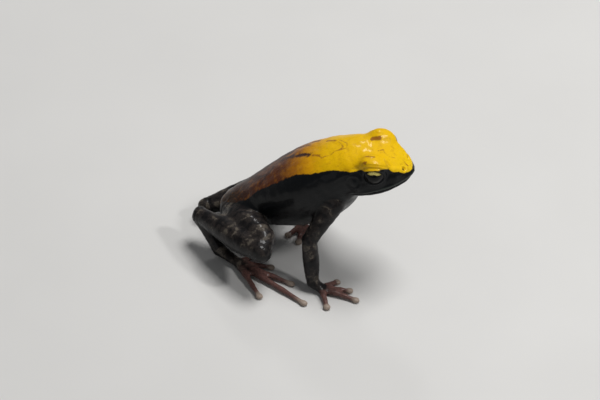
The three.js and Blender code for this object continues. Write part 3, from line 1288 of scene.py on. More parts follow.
@dataclass
class Lids:
    """The skin round one eye: an almond opening, its round rim and the folds outside it.

    The almond in angles from the gaze is (a / across)² + (b / high)² = 1, with a forwards and b
    upwards. The share of a point is 0 on the gaze, 1 on the almond's edge and more outside it.

    Attributes:
        eye: The eye that they lie round.
        gap: From the eye's ball to the rim.
        across: Half width of the opening, in degrees.
        high: Half height of the opening, in degrees.
        sunk: How far under the ball's surface the skin inside the opening lies.
        edge: Shares where the skin starts to rise from there, and where it meets the rim.
        blend: Shares where the skin leaves the rim, and where it is at its own height again.
        hold: Heights over the ball where the lids let go of the skin, and where they hold it.
        limit: Height over the ball and share beyond which nothing is moved.
        folds: Share, width and height of the fold on the rim and the furrow outside it.
        wrinkles: Share, width, height and waves of the fine wrinkles on the upper lid.
        soft: Share and width of the rim that is smoothed at the end.
        soft_rounds: How often.
        front: Least part of the gaze in the direction of a point that counts as in front.
        fine: Share in the middle of the fine faces, half width there, and how much more it is
            with a margin of 1.
        fine_limit: Greatest height over the ball of the fine faces.
    """

    eye: Eye
    gap: float = 0.12
    across: float = 56.0
    high: float = 36.0
    sunk: float = 0.22
    edge: Pair = (0.93, 1.07)
    blend: Pair = (1.05, 2.1)
    hold: Pair = (1.35, 0.85)
    limit: Pair = (1.5, 2.2)
    folds: tuple[Triple, ...] = ((1.16, 0.11, 0.06), (1.45, 0.10, -0.05))
    wrinkles: tuple[float, ...] = (1.75, 0.3, 0.025, 21)
    soft: Pair = (1.05, 0.22)
    soft_rounds: int = 4
    front: float = 0.05
    fine: Triple = (1.1, 0.22, 0.75)
    fine_limit: float = 1.3

    def share(self, points: np.ndarray) -> tuple[np.ndarray, np.ndarray, np.ndarray]:
        """The share of each point, its angle b in degrees, and how far along the gaze it lies."""
        across, over, out = self.eye.angles(points)
        return np.hypot(across / self.across, over / self.high), over, out

    def near(self, points: np.ndarray, margin: float) -> np.ndarray:
        """Which points lie among the fine faces.

        Args:
            points: Places, one row each.
            margin: From 0 to 1, how much of the wider region to take.

        Returns:
            True or False for each point.
        """
        share, _, out = self.share(points)
        middle, half, more = self.fine
        close = distance(points, self.eye.centre()) - self.eye.radius < self.fine_limit
        return (out > 0) & close & (np.abs(share - middle) < half + more * margin)

    def open(self, surface: Surface) -> None:
        """Draws the skin in to the eye's rim, and under the eye inside the opening.

        Outside the almond the skin's distance from the eye's centre runs from the rim's to its
        own as the share grows over blend. The edge itself is a round lip, and skin that is
        already more than about 1 mm off the eye stays where it is.

        Args:
            surface: The skin.
        """
        centre, ball_radius = self.eye.centre(), self.eye.radius
        offset = surface.points - centre
        away = np.linalg.norm(offset, axis=1)
        share, over, out = self.share(surface.points)
        share = np.where(out > self.front, share, FAR_OFF)
        near = (away < ball_radius + self.limit[0]) & (share < self.limit[1])
        fold = sum(height * bell(share - place, width) for place, width, height in self.folds)
        place, width, height, waves = self.wrinkles
        wrinkle = height * np.sin(share * waves) * bell(share - place, width)
        rim, sunk = ball_radius + self.gap, ball_radius - self.sunk
        lip = rim + (np.maximum(away, rim) - rim) * smooth_step(*self.blend, share)
        lip += fold + np.where(over > 0, wrinkle, 0)
        target = sunk + (lip - sunk) * smooth_step(*self.edge, share)
        hold = smooth_step(ball_radius + self.hold[0], ball_radius + self.hold[1], away)
        new = np.where(near, away + (target - away) * hold, away)
        surface.points = centre + offset * (new / away)[:, None]
        middle, half = self.soft
        surface.relax(self.soft_rounds, np.where(near, bell(share - middle, half), 0))


@dataclass
class Skin:
    """One skin over head, body and limbs, fused from their forms and then worked in detail.

    Attributes:
        lids: Of both eyes.
        arms, legs: The limbs.
        trunk: Head and body.
        mouth, canthus: Parts of the face that both flanks share.
        nostrils, eardrums: Parts of the face with one on each flank.
        pattern: The drawing of the coat.
        voxel: Size of the cubes that fuse the forms.
        brow_place: Middle of the swelling over each eye, with y measured outwards.
        brow_sizes: Half sizes of that swelling.
        brow_around: Corners round it.
        fillets: How far the rounding reaches at the limb roots, at the knees and at the brows.
        brow_pull: How much more strongly the brows are rounded.
        smooth_rounds, root_rounds, brow_rounds, crease_rounds: Rounds of smoothing for the whole,
            the limb roots, the brows, and all creases.
        waves: Heights of the broad and the narrow unevenness of the skin.
        joint_fold: Height of the folds at the joints, their waves to the millimetre, and how far
            from the joint they fade.
        joint_reach: Depth under or over a limb's own form where its folds end and are full.
        arm_fold: Height of the folds behind the arm, their distance from the shoulder, and width.
        arm_fold_front: x where the folds behind the arm end, and where they are full.
        smooth_below: Heights between which the unevenness grows from nothing at the feet.
        limb_edge: Millimetres between trunk and limb over which one finish turns into the other.
        hand_height: Height under which hands and feet are looked for.
        run_starts: Where the measure along a limb starts, for each limb and for each segment.
    """

    lids: list[Lids]
    arms: list[Arm]
    legs: list[Leg]
    trunk: Trunk = field(default_factory=Trunk)
    mouth: Mouth = field(default_factory=Mouth)
    canthus: Canthus = field(default_factory=Canthus)
    nostrils: list[Nostril] = field(default_factory=lambda: [Nostril(side) for side in Side])
    eardrums: list[Eardrum] = field(default_factory=lambda: [Eardrum(side) for side in Side])
    pattern: Pattern = field(default_factory=Pattern)
    voxel: float = 0.16
    brow_place: Triple = (17.25, 2.35, 15.1)
    brow_sizes: Triple = (2.0, 1.95, 1.85)
    brow_around: int = 72
    fillets: Triple = (0.9, 2.4, 2.6)
    brow_pull: float = 1.6
    smooth_rounds: int = 3
    root_rounds: int = 60
    brow_rounds: int = 45
    crease_rounds: int = 7
    waves: Pair = (0.022, 0.014)
    joint_fold: Triple = (0.03, 9.0, 0.9)
    joint_reach: Pair = (0.5, 0.1)
    arm_fold: Triple = (0.035, 2.3, 0.9)
    arm_fold_front: Pair = (14.4, 12.6)
    smooth_below: Pair = (0.5, 2.5)
    limb_edge: float = 0.35
    hand_height: float = 2.0
    run_starts: Pair = (40.0, 12.0)

    def limbs(self) -> list[Limb]:
        """Arms and legs together."""
        return [*self.arms, *self.legs]

    def rough(self) -> Surface:
        """The fused forms.

        Returns:
            A closed surface with plain creases where forms meet.
        """
        shells = [self.trunk.shell()]
        for side in Side:
            shells.append(ball(side.place(self.brow_place), self.brow_sizes, self.brow_around))
        for limb in self.limbs():
            shells += limb.shells()
        return Surface.fused(shells, self.voxel)

    def fill_creases(self, surface: Surface) -> None:
        """Rounds out the creases where forms meet: wide at the limb roots, narrow at the digits.

        Args:
            surface: The skin.
        """
        points = surface.points
        root_reach, knee_reach, brow_reach = self.fillets
        _, _, outside = self.trunk.measure(points)
        roots = []
        for limb in self.limbs():
            away, _ = limb.segments()[0].measure(points)
            roots.append(bell(np.hypot(away, outside), root_reach))
        for leg in self.legs:
            bend = (leg.joint("knee") + leg.joint("knee_below")) / 2
            roots.append(bell(distance(points, bend), knee_reach))
        brows = [bell(distance(points, lids.eye.centre()), brow_reach) for lids in self.lids]
        brow = np.clip(self.brow_pull * np.max(brows, axis=0), 0, 1)
        surface.relax(self.smooth_rounds)
        surface.relax(self.root_rounds, np.max(roots, axis=0), fill_only=True)
        surface.relax(self.brow_rounds, brow, fill_only=True)
        surface.relax(self.crease_rounds, fill_only=True)

    def near_features(self, points: np.ndarray, margin: float) -> np.ndarray:
        """Which points lie among the fine faces of any detail, for a margin from 0 to 1."""
        details = [self.mouth, *self.lids, *self.nostrils, *self.eardrums]
        return np.any([detail.near(points, margin) for detail in details], axis=0)

    def shape_face(self, surface: Surface) -> None:
        """Lips, nostrils, eardrums, the ridges from eye to nostril and the folds over the ears."""
        details = [self.mouth, self.canthus, *self.nostrils, *self.eardrums]
        surface.push(sum(detail.relief(surface.points) for detail in details))

    def unevenness(self, points: np.ndarray) -> np.ndarray:
        """Crossing waves in the skin, about 2.5 mm and 1.3 mm long, that bend one another.

        Args:
            points: Places, one row each.

        Returns:
            Millimetres to move each point outwards.
        """
        x, y, z = points.T
        broad = np.sin(2.3 * x + 1.1 * np.sin(1.7 * y)) * np.sin(2.9 * y + 1.3 * z)
        narrow = np.sin(5.1 * x - 2.0 * z) * np.sin(4.3 * z + 2.2 * y)
        return self.waves[0] * broad + self.waves[1] * narrow

    def joint_folds(self, points: np.ndarray) -> np.ndarray:
        """Rings of folds at the ends of each segment: sin(waves run), made a little uneven.

        Args:
            points: Places, one row each.

        Returns:
            Millimetres to move each point outwards.
        """
        height, waves, fade = self.joint_fold
        uneven = 1.3 * np.sin(1.9 * points.sum(axis=1))
        rise = np.zeros(len(points))
        for limb in self.limbs():
            for sweep in limb.segments():
                away, run = sweep.measure(points)
                end = np.minimum(run, run.max() - run)
                here = bell(end, fade) * smooth_step(*self.joint_reach, np.abs(away))
                rise += height * np.sin(waves * run + uneven) * here
        return rise

    def arm_folds(self, points: np.ndarray) -> np.ndarray:
        """Folds of the flank behind each arm: slanting waves on a ring round the shoulder.

        Args:
            points: Places, one row each.

        Returns:
            Millimetres to move each point outwards.
        """
        height, radius, width = self.arm_fold
        x, _, z = points.T
        wave = np.sin(4.2 * (0.8 * x + 0.5 * z) + 0.8 * np.sin(1.6 * z))
        rings = [bell(distance(points, a.joint("shoulder")) - radius, width) for a in self.arms]
        return height * wave * np.sum(rings, axis=0) * smooth_step(*self.arm_fold_front, x)

    def roughen(self, surface: Surface) -> None:
        """Soft unevenness under the skin, and folds at the joints and behind the arms.

        Args:
            surface: The skin.
        """
        points = surface.points
        rise = self.unevenness(points) + self.joint_folds(points) + self.arm_folds(points)
        surface.push(rise * smooth_step(*self.smooth_below, points[:, 2]))

    def rest_on_floor(self, surface: Surface) -> None:
        """Presses whatever hangs below the floor flat against it."""
        surface.points[:, 2] = np.maximum(surface.points[:, 2], 0)

    def along_limbs(self, points: np.ndarray) -> tuple[np.ndarray, np.ndarray]:
        """Where points lie on the long segments of the limbs.

        Args:
            points: Places, one row each.

        Returns:
            Millimetres outside the nearest segment, and millimetres along it, with a different
            start for each segment.
        """
        rivals = []
        for number, limb in enumerate(self.limbs()):
            for order, sweep in enumerate(limb.segments()):
                away, run = sweep.measure(points)
                rivals.append((away, run + np.dot(self.run_starts, (number, order))))
        return nearest(rivals, len(points))

    def along_digits(self, points: np.ndarray) -> tuple[np.ndarray, np.ndarray]:
        """Where points lie on the palms, soles and digits.

        Args:
            points: Places, one row each.

        Returns:
            Millimetres outside the nearest form, and the share of the way along it: 0 on a palm
            or sole and 1 at the end of a digit.
        """
        low = points[:, 2] < self.hand_height
        rivals = []
        for limb in self.limbs():
            rivals.append((limb.palm().measure(points[low])[0], 0.0))
            for digit in limb.digits():
                away, run = digit.sweep().measure(points[low])
                rivals.append((away, run / np.linalg.norm(digit.end() - digit.root)))
        least, share = np.full(len(points), np.inf), np.zeros(len(points))
        least[low], share[low] = nearest(rivals, np.count_nonzero(low))
        return least, share

    def paint_maps(self, surface: Surface) -> dict[str, np.ndarray]:
        """What the finish needs to know at each corner.

        Args:
            surface: The finished skin.

        Returns:
            The pattern's maps, and beside them
            limb: 0 on the trunk and 1 on a limb.
            run: millimetres along a limb segment, with a different start for each.
            tip: 0 on a palm or sole and 1 at the end of a digit.
            lip: millimetres above or below the middle of the pale line on the upper lip.
            up: how far the skin faces upwards, from -1 to 1.
        """
        points = surface.points
        along, height, outside = self.trunk.measure(points)
        limb_away, run = self.along_limbs(points)
        hand_away, tip = self.along_digits(points)
        off_limb = np.minimum(limb_away, hand_away) - outside
        return {
            **self.pattern.maps(points, along, height),
            "limb": smooth_step(self.limb_edge, -self.limb_edge, off_limb),
            "run": run,
            "tip": tip,
            "lip": self.mouth.off_pale_line(points),
            "up": surface.normals()[:, 2],
        }

    def build(self, offset: Vector, finish: bpy.types.Material) -> None:
        """Fuses and works the skin, paints it, and lets it stand for every node of flesh.

        Args:
            offset: The frog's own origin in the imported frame, in metres.
            finish: The skin's material.
        """
        surface = self.rough()
        self.fill_creases(surface)
        for margin in (1.0, 0.0):
            surface.refine(self.near_features(surface.points, margin))
        surface.relax(2)
        for lids in self.lids:
            lids.open(surface)
        self.shape_face(surface)
        self.roughen(surface)
        self.rest_on_floor(surface)
        maps = self.paint_maps(surface)
        piece = place_piece("skin", surface.mesh, surface.points, offset, maps, finish)
        flesh = [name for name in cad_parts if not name.startswith("eye_")]
        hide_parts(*flesh)


@dataclass(frozen=True)
class Cloud:
    """Soft noise round 0.5.

    Attributes:
        scale: Lumps to the millimetre, about.
        detail: How much finer the noise gets within its lumps.
        twist: How much it is bent by itself.
    """

    scale: float
    detail: float = 2.0
    twist: float = 0.0


@dataclass(frozen=True)
class Edge:
    """Where one colour turns into another as a value runs from start to end.

    Attributes:
        start: The value at which the mask is 0.
        end: The value at which the mask is 1. It may be the smaller.
        ragged: How far each of the sheet's clouds moves the value up and down, both ways together.
    """

    start: float
    end: float
    ragged: tuple[float, ...] = ()


@dataclass(frozen=True)
class Gloss:
    """How a surface shines.

    Attributes:
        roughness: Of the surface under its coat.
        specular: Level of the reflection there.
        coat: Weight of the wet coat.
        coat_roughness: Of the coat.
    """

    roughness: float
    specular: float = 0.5
    coat: float = 0.0
    coat_roughness: float = 0.03


class NodeSheet:
    """A material whose nodes are added one call at a time, and read in millimetres.

    Attributes:
        material: The material.
        clouds: The noises that make its edges ragged.
    """

    def __init__(self, name: str, *clouds: Cloud) -> None:
        """Starts an empty material with one shader on its output.

        Args:
            name: Of the material.
            clouds: The noises that make its edges ragged.
        """
        self.material = bpy.data.materials.new(name)
        self.material.use_nodes = True
        self._tree = self.material.node_tree
        self._tree.nodes.clear()
        self._shader = self.node("ShaderNodeBsdfPrincipled")
        output = self.node("ShaderNodeOutputMaterial")
        self.join(self._shader.outputs["BSDF"], output.inputs["Surface"])
        mapping = self.node("ShaderNodeMapping")
        mapping.inputs["Scale"].default_value = (1 / MM,) * 3
        self.join(self.node("ShaderNodeTexCoord").outputs["Object"], mapping.inputs["Vector"])
        self._place = mapping.outputs["Vector"]
        self.clouds = [self.noise(cloud) for cloud in clouds]

    def node(self, kind: str, **settings: object) -> bpy.types.Node:
        """Adds a node.

        Args:
            kind: Blender's name for it.
            settings: Its properties.

        Returns:
            The node.
        """
        made = self._tree.nodes.new(kind)
        for key, value in settings.items():
            setattr(made, key, value)
        return made

    def join(self, source: object, target: bpy.types.NodeSocket) -> None:
        """Feeds a socket.

        Args:
            source: Another socket, a number or a colour.
            target: The socket to feed or to set.
        """
        if isinstance(source, bpy.types.NodeSocket):
            self._tree.links.new(source, target)
        elif isinstance(source, tuple):
            target.default_value = (*source, 1.0)
        else:
            target.default_value = source

    def attribute(self, name: str) -> bpy.types.NodeSocket:
        """A number kept at each corner of the mesh."""
        return self.node("ShaderNodeAttribute", attribute_name=name).outputs["Fac"]

    def noise(self, cloud: Cloud) -> bpy.types.NodeSocket:
        """Soft noise on the piece's own place.

        Args:
            cloud: Its size and grain.

        Returns:
            A number round 0.5.
        """
        made = self.node("ShaderNodeTexNoise")
        self.join(self._place, made.inputs["Vector"])
        made.inputs["Scale"].default_value = cloud.scale
        made.inputs["Detail"].default_value = cloud.detail
        made.inputs["Distortion"].default_value = cloud.twist
        return made.outputs["Fac"]

    def cells(self, scale: float) -> bpy.types.NodeSocket:
        """Scattered points.

        Args:
            scale: Points to the millimetre, about.

        Returns:
            Distance to the nearest point, in cells.
        """
        made = self.node("ShaderNodeTexVoronoi")
        self.join(self._place, made.inputs["Vector"])
        made.inputs["Scale"].default_value = scale
        return made.outputs["Distance"]

    def calc(self, operation: str, a: object, b: object = 0.0) -> bpy.types.NodeSocket:
        """One step of arithmetic.

        Args:
            operation: Blender's name for it.
            a: First number or socket.
            b: Second number or socket, where the operation has one.

        Returns:
            The result.
        """
        made = self.node("ShaderNodeMath", operation=operation)
        self.join(a, made.inputs[0])
        self.join(b, made.inputs[1])
        return made.outputs["Value"]

    def wander(self, value: object, noise: object, amount: float) -> bpy.types.NodeSocket:
        """A value moved up and down by noise: value + amount (noise - 0.5)."""
        offset = self.calc("MULTIPLY", self.calc("SUBTRACT", noise, 0.5), amount)
        return self.calc("ADD", value, offset)

    def mask(self, value: object, edge: Edge, share: float = 1.0) -> bpy.types.NodeSocket:
        """A mask with a soft and ragged edge.

        Args:
            value: What the edge is measured on.
            edge: Where it lies and how ragged it is.
            share: Height of the mask past the edge.

        Returns:
            0 before the edge, the share past it and a smooth step between them.
        """
        for noise, amount in zip(self.clouds, edge.ragged):
            if amount:
                value = self.wander(value, noise, amount)
        made = self.node("ShaderNodeMapRange", interpolation_type="SMOOTHSTEP")
        settings = {"Value": value, "From Min": edge.start, "From Max": edge.end, "To Max": share}
        for name, source in settings.items():
            self.join(source, made.inputs[name])
        return made.outputs["Result"]

    def mix(self, share: object, a: object, b: object) -> bpy.types.NodeSocket:
        """One colour over another.

        Args:
            share: Of the second colour.
            a: The colour where the share is 0.
            b: The colour where it is 1.

        Returns:
            The mixed colour.
        """
        made = self.node("ShaderNodeMix", data_type="RGBA")
        for source, name in ((share, "Factor_Float"), (a, "A_Color"), (b, "B_Color")):
            self.join(source, next(s for s in made.inputs if s.identifier == name))
        return next(s for s in made.outputs if s.identifier == "Result_Color")

    def ramp(self, value: object, stops: list[tuple[float, Colour]]) -> bpy.types.NodeSocket:
        """A colour scale.

        Args:
            value: Where to read it.
            stops: Places from 0 to 1 with their colours, in order.

        Returns:
            The colour there.
        """
        made = self.node("ShaderNodeValToRGB")
        scale = made.color_ramp
        while len(scale.elements) < len(stops):
            scale.elements.new(1.0)
        for element, (place, colour) in zip(scale.elements, stops):
            element.position, element.color = place, (*colour, 1.0)
        self.join(value, made.inputs["Fac"])
        return made.outputs["Color"]

    def bump(self, height: object, depth: float, under: object = None) -> bpy.types.NodeSocket:
        """A relief too fine for the mesh.

        Args:
            height: From 0 to 1.
            depth: What 1 stands for, in millimetres.
            under: The normal of another relief to lay it on.

        Returns:
            The normal.
        """
        made = self.node("ShaderNodeBump")
        made.inputs["Distance"].default_value = depth * MM
        self.join(height, made.inputs["Height"])
        if under is not None:
            self.join(under, made.inputs["Normal"])
        return made.outputs["Normal"]

    def finish(self, colour: object, gloss: Gloss, normal: object = None) -> bpy.types.Material:
        """Hands colour, gloss and normal to the shader.

        Args:
            colour: The base colour.
            gloss: Set as plain numbers.
            normal: Of the fine relief, if there is one.

        Returns:
            The material.
        """
        inputs = self._shader.inputs
        self.join(colour, inputs["Base Color"])
        if normal is not None:
            self.join(normal, inputs["Normal"])
        inputs["Roughness"].default_value = gloss.roughness
        inputs["Specular IOR Level"].default_value = gloss.specular
        inputs["Coat Weight"].default_value = gloss.coat
        inputs["Coat Roughness"].default_value = gloss.coat_roughness
        return self.material


@dataclass(frozen=True)
class WetSkin:
    """Smooth, finely grained, wet skin: golden above, rust at the rump, black at the sides.

    Attributes:
        rump, maroon, rust, orange, amber, gold, lemon: Colours of the back from vent to snout.
        soot: The black side.
        mark: The brown marks on the gold.
        saddle: The dark saddle over the rump.
        tan, umber, bark: Light, middle and dark of the limbs.
        toe, pad: Digits and their tips.
        lip: The grey line on the upper lip.
        fleck: Small spots on the belly.
        length: Millimetres along the spine that the colours of the back are spread over.
        bands: Millimetres along the spine at which the back has each of its colours.
        band_wander: How far the bands wander, in millimetres.
        middle, fine: The noises that make the edges ragged.
        border_edge, mark_edge, saddle_edge, limb_edge: Edges of the parts of the pattern.
        warm_edge, speck_cloud, speck_edge: Warmer patches and brown specks on the gold.
        warm_share, speck_share: How strong they are.
        bar_cloud, bar_wander, bar_waves, bar_share: The dark bars across the limbs.
        blotch_cloud, blotch_wander: The blotches that break the bars up.
        umber_edge, tan_edge: Where the blotches turn umber, and tan.
        dark_edge, dark_share: Fine dark mottling on the limbs.
        painted_shade_under_edge: Where the limbs' undersides turn dark, as painted shade on skin that
            faces down.
        freckle_edge, freckle_share: Dark freckles on the digits.
        digit_edge, pad_edge: Where the limb turns into digit, and the digit into its pad.
        lip_edge, lip_share: The pale line on the upper lip.
        fleck_cells, fleck_edge, belly_edge: Flecks, and how far the skin faces down to have them.
        granules, granule_edge, granule_depth: The fine grain.
        relief_cloud, relief_depth: The soft unevenness under the grain.
        gloss: How it shines.
    """

    rump: Colour = (0.024, 0.013, 0.008)
    maroon: Colour = (0.044, 0.014, 0.008)
    rust: Colour = (0.082, 0.022, 0.007)
    orange: Colour = (0.34, 0.125, 0.005)
    amber: Colour = (0.64, 0.30, 0.002)
    gold: Colour = (0.76, 0.45, 0.001)
    lemon: Colour = (0.80, 0.52, 0.006)
    soot: Colour = (0.0035, 0.0042, 0.0052)
    mark: Colour = (0.30, 0.115, 0.010)
    saddle: Colour = (0.038, 0.013, 0.008)
    tan: Colour = (0.095, 0.080, 0.064)
    umber: Colour = (0.026, 0.021, 0.019)
    bark: Colour = (0.0065, 0.0058, 0.0062)
    toe: Colour = (0.160, 0.078, 0.066)
    pad: Colour = (0.34, 0.27, 0.22)
    lip: Colour = (0.040, 0.050, 0.043)
    fleck: Colour = (0.10, 0.15, 0.19)
    length: float = 27.0
    bands: tuple[tuple[float, Colour], ...] = (
        (2.5, rump),
        (5.0, maroon),
        (7.5, rust),
        (10.2, rust),
        (12.2, orange),
        (14.0, amber),
        (16.0, gold),
        (21.0, gold),
        (24.5, lemon),
    )
    band_wander: float = 2.6
    middle: Cloud = Cloud(1.5, 3, 0.4)
    fine: Cloud = Cloud(7, 3)
    border_edge: Edge = Edge(-0.04, 0.05, (0.24, 0.09))
    mark_edge: Edge = Edge(0.09, -0.08, (0.35, 0.22))
    saddle_edge: Edge = Edge(0.25, -0.15, (1.1, 0.5))
    limb_edge: Edge = Edge(0.4, 0.6, (0.5,))
    warm_edge: Edge = Edge(0.52, 0.70)
    warm_share: float = 0.30
    speck_cloud: Cloud = Cloud(9)
    speck_edge: Edge = Edge(0.60, 0.72)
    speck_share: float = 0.22
    bar_cloud: Cloud = Cloud(0.45)
    bar_wander: float = 3.0
    bar_waves: float = 2.1
    bar_share: float = 0.22
    blotch_cloud: Cloud = Cloud(1.1, 4, 0.6)
    blotch_wander: float = 2.6
    umber_edge: Edge = Edge(-0.30, 0.05)
    tan_edge: Edge = Edge(0.16, 0.42)
    dark_edge: Edge = Edge(0.48, 0.62)
    dark_share: float = 0.6
    painted_shade_under_edge: Edge = Edge(0.42, -0.10, (0.9,))
    freckle_edge: Edge = Edge(0.45, 0.62)
    freckle_share: float = 0.55
    digit_edge: Edge = Edge(0.05, 0.45, (0.4,))
    pad_edge: Edge = Edge(0.84, 0.98, (0.0, 0.14))
    lip_edge: Edge = Edge(0.22, 0.10, (0.12,))
    lip_share: float = 0.7
    fleck_cells: float = 0.8
    fleck_edge: Edge = Edge(0.22, 0.14, (0.35, 0.16))
    belly_edge: Edge = Edge(-0.55, -0.85)
    granules: float = 6.5
    granule_edge: Edge = Edge(0.62, 0.0)
    granule_depth: float = 0.016
    relief_cloud: Cloud = Cloud(2.0, 3)
    relief_depth: float = 0.05
    gloss: Gloss = Gloss(0.45, 0.10, 0.22, 0.12)

    def back(self, sheet: NodeSheet) -> bpy.types.NodeSocket:
        """The bright back: bands along the spine, specks, the saddle and the marks.

        Args:
            sheet: The skin's nodes.

        Returns:
            Its colour.
        """
        middle = sheet.clouds[0]
        along = sheet.wander(sheet.attribute("along"), middle, self.band_wander)
        stops = [(place / self.length, colour) for place, colour in self.bands]
        back = sheet.ramp(sheet.calc("DIVIDE", along, self.length), stops)
        back = sheet.mix(sheet.mask(middle, self.warm_edge, self.warm_share), back, self.orange)
        speck = sheet.mask(sheet.noise(self.speck_cloud), self.speck_edge, self.speck_share)
        back = sheet.mix(speck, back, self.mark)
        saddle = sheet.mask(sheet.attribute("saddle"), self.saddle_edge)
        back = sheet.mix(saddle, back, self.saddle)
        return sheet.mix(sheet.mask(sheet.attribute("mark"), self.mark_edge), back, self.mark)

    def limb(self, sheet: NodeSheet) -> bpy.types.NodeSocket:
        """Legs and arms: dark, with tan blotches, painted shade that darkens their undersides, and
        reddish digits.

        The blotches are a sine along the limb, which makes bars of them, moved by noise.

        Args:
            sheet: The skin's nodes.

        Returns:
            Its colour.
        """
        fine = sheet.clouds[1]
        run = sheet.wander(sheet.attribute("run"), sheet.noise(self.bar_cloud), self.bar_wander)
        bars = sheet.calc("SINE", sheet.calc("MULTIPLY", run, self.bar_waves))
        bars = sheet.calc("MULTIPLY", bars, self.bar_share)
        blotch = sheet.wander(bars, sheet.noise(self.blotch_cloud), self.blotch_wander)
        leg = sheet.mix(sheet.mask(blotch, self.umber_edge), self.bark, self.umber)
        leg = sheet.mix(sheet.mask(blotch, self.tan_edge), leg, self.tan)
        leg = sheet.mix(sheet.mask(fine, self.dark_edge, self.dark_share), leg, self.bark)
        # Painted shade: skin that faces down turns to the dark bark colour.
        leg = sheet.mix(sheet.mask(sheet.attribute("up"), self.painted_shade_under_edge), leg, self.bark)
        tip = sheet.attribute("tip")
        freckle = sheet.mask(fine, self.freckle_edge, self.freckle_share)
        digit = sheet.mix(freckle, self.toe, self.umber)
        digit = sheet.mix(sheet.mask(tip, self.pad_edge), digit, self.pad)
        return sheet.mix(sheet.mask(tip, self.digit_edge), leg, digit)

    def side(self, sheet: NodeSheet) -> bpy.types.NodeSocket:
        """The black side with the grey lip line, and a few pale flecks underneath.

        Args:
            sheet: The skin's nodes.

        Returns:
            Its colour.
        """
        lip = sheet.mask(sheet.attribute("lip"), self.lip_edge, self.lip_share)
        side = sheet.mix(lip, self.soot, self.lip)
        flecks = sheet.mask(sheet.cells(self.fleck_cells), self.fleck_edge)
        below = sheet.mask(sheet.attribute("up"), self.belly_edge)
        return sheet.mix(sheet.calc("MULTIPLY", flecks, below), side, self.fleck)

    def grain(self, sheet: NodeSheet) -> bpy.types.NodeSocket:
        """Fine rounded granules over a soft unevenness, both as bump.

        Args:
            sheet: The skin's nodes.

        Returns:
            The normal.
        """
        granule = sheet.mask(sheet.cells(self.granules), self.granule_edge)
        soft = sheet.bump(sheet.noise(self.relief_cloud), self.relief_depth)
        return sheet.bump(granule, self.granule_depth, soft)

    def material(self) -> bpy.types.Material:
        """The whole finish: back over side at the border, and limbs over both.

        Returns:
            The material.
        """
        sheet = NodeSheet("wet_skin", self.middle, self.fine)
        border = sheet.mask(sheet.attribute("border"), self.border_edge)
        skin = sheet.mix(border, self.side(sheet), self.back(sheet))
        limb = sheet.mask(sheet.attribute("limb"), self.limb_edge)
        skin = sheet.mix(limb, skin, self.limb(sheet))
        return sheet.finish(skin, self.gloss, self.grain(sheet))


@dataclass(frozen=True)
class WetEye:
    """A black, wet eye with a line of gold along the top of the iris.

    Attributes:
        black: Pupil, and ball outside the iris.
        iris: The lower iris.
        gold: The line.
        grain: The noise that makes its edges ragged.
        pupil_edge: Edge of the pupil.
        inner_edge, outer_edge: Edges of the gold ring.
        upper_edge: Where the ring starts over the gaze.
        gap_cloud, gap_edge: Fine dark gaps in the gold.
        ball_edge: Edge of the iris.
        gloss: How it shines.
    """

    black: Colour = (0.0022, 0.0022, 0.0026)
    iris: Colour = (0.0045, 0.0036, 0.003)
    gold: Colour = (0.62, 0.52, 0.16)
    grain: Cloud = Cloud(14, 3)
    pupil_edge: Edge = Edge(0.98, 1.04, (0.06,))
    inner_edge: Edge = Edge(0.46, 0.54, (0.1,))
    outer_edge: Edge = Edge(0.98, 0.84, (0.1,))
    upper_edge: Edge = Edge(0.54, 0.70)
    gap_cloud: Cloud = Cloud(20)
    gap_edge: Edge = Edge(0.28, 0.5)
    ball_edge: Edge = Edge(1.0, 1.08, (0.1,))
    gloss: Gloss = Gloss(0.3, 0.06, 0.25, 0.02)

    def material(self) -> bpy.types.Material:
        """Iris over pupil, the gold line over both, and the black ball round them.

        Returns:
            The material.
        """
        sheet = NodeSheet("wet_eye", self.grain)
        pupil, ring = sheet.attribute("pupil"), sheet.attribute("ring")
        colour = sheet.mix(sheet.mask(pupil, self.pupil_edge), self.black, self.iris)
        gold = sheet.mask(ring, self.inner_edge)
        for value, edge in (
            (ring, self.outer_edge),
            (sheet.attribute("upper"), self.upper_edge),
            (sheet.noise(self.gap_cloud), self.gap_edge),
        ):
            gold = sheet.calc("MULTIPLY", gold, sheet.mask(value, edge))
        colour = sheet.mix(gold, colour, self.gold)
        colour = sheet.mix(sheet.mask(ring, self.ball_edge), colour, self.black)
        return sheet.finish(colour, self.gloss)


@dataclass(frozen=True)
class Lamp:
    """A square soft light that faces the frog.

    Attributes:
        name: What it is for.
        place: Where it stands, in metres.
        size: Length of its side, in metres.
        watts: Its power.
    """

    name: str
    place: Triple
    size: float
    watts: float

    def add(self, target: Vector) -> None:
        """Adds the light to the scene.

        Args:
            target: Where it points, in metres.
        """
        data = bpy.data.lights.new(self.name, "AREA")
        data.shape = "SQUARE"
        data.size, data.energy = self.size, self.watts
        made = bpy.data.objects.new(self.name, data)
        made.location = self.place
        made.rotation_mode = "QUATERNION"
        made.rotation_quaternion = (target - Vector(self.place)).to_track_quat("-Z", "Y")
        bpy.context.scene.collection.objects.link(made)


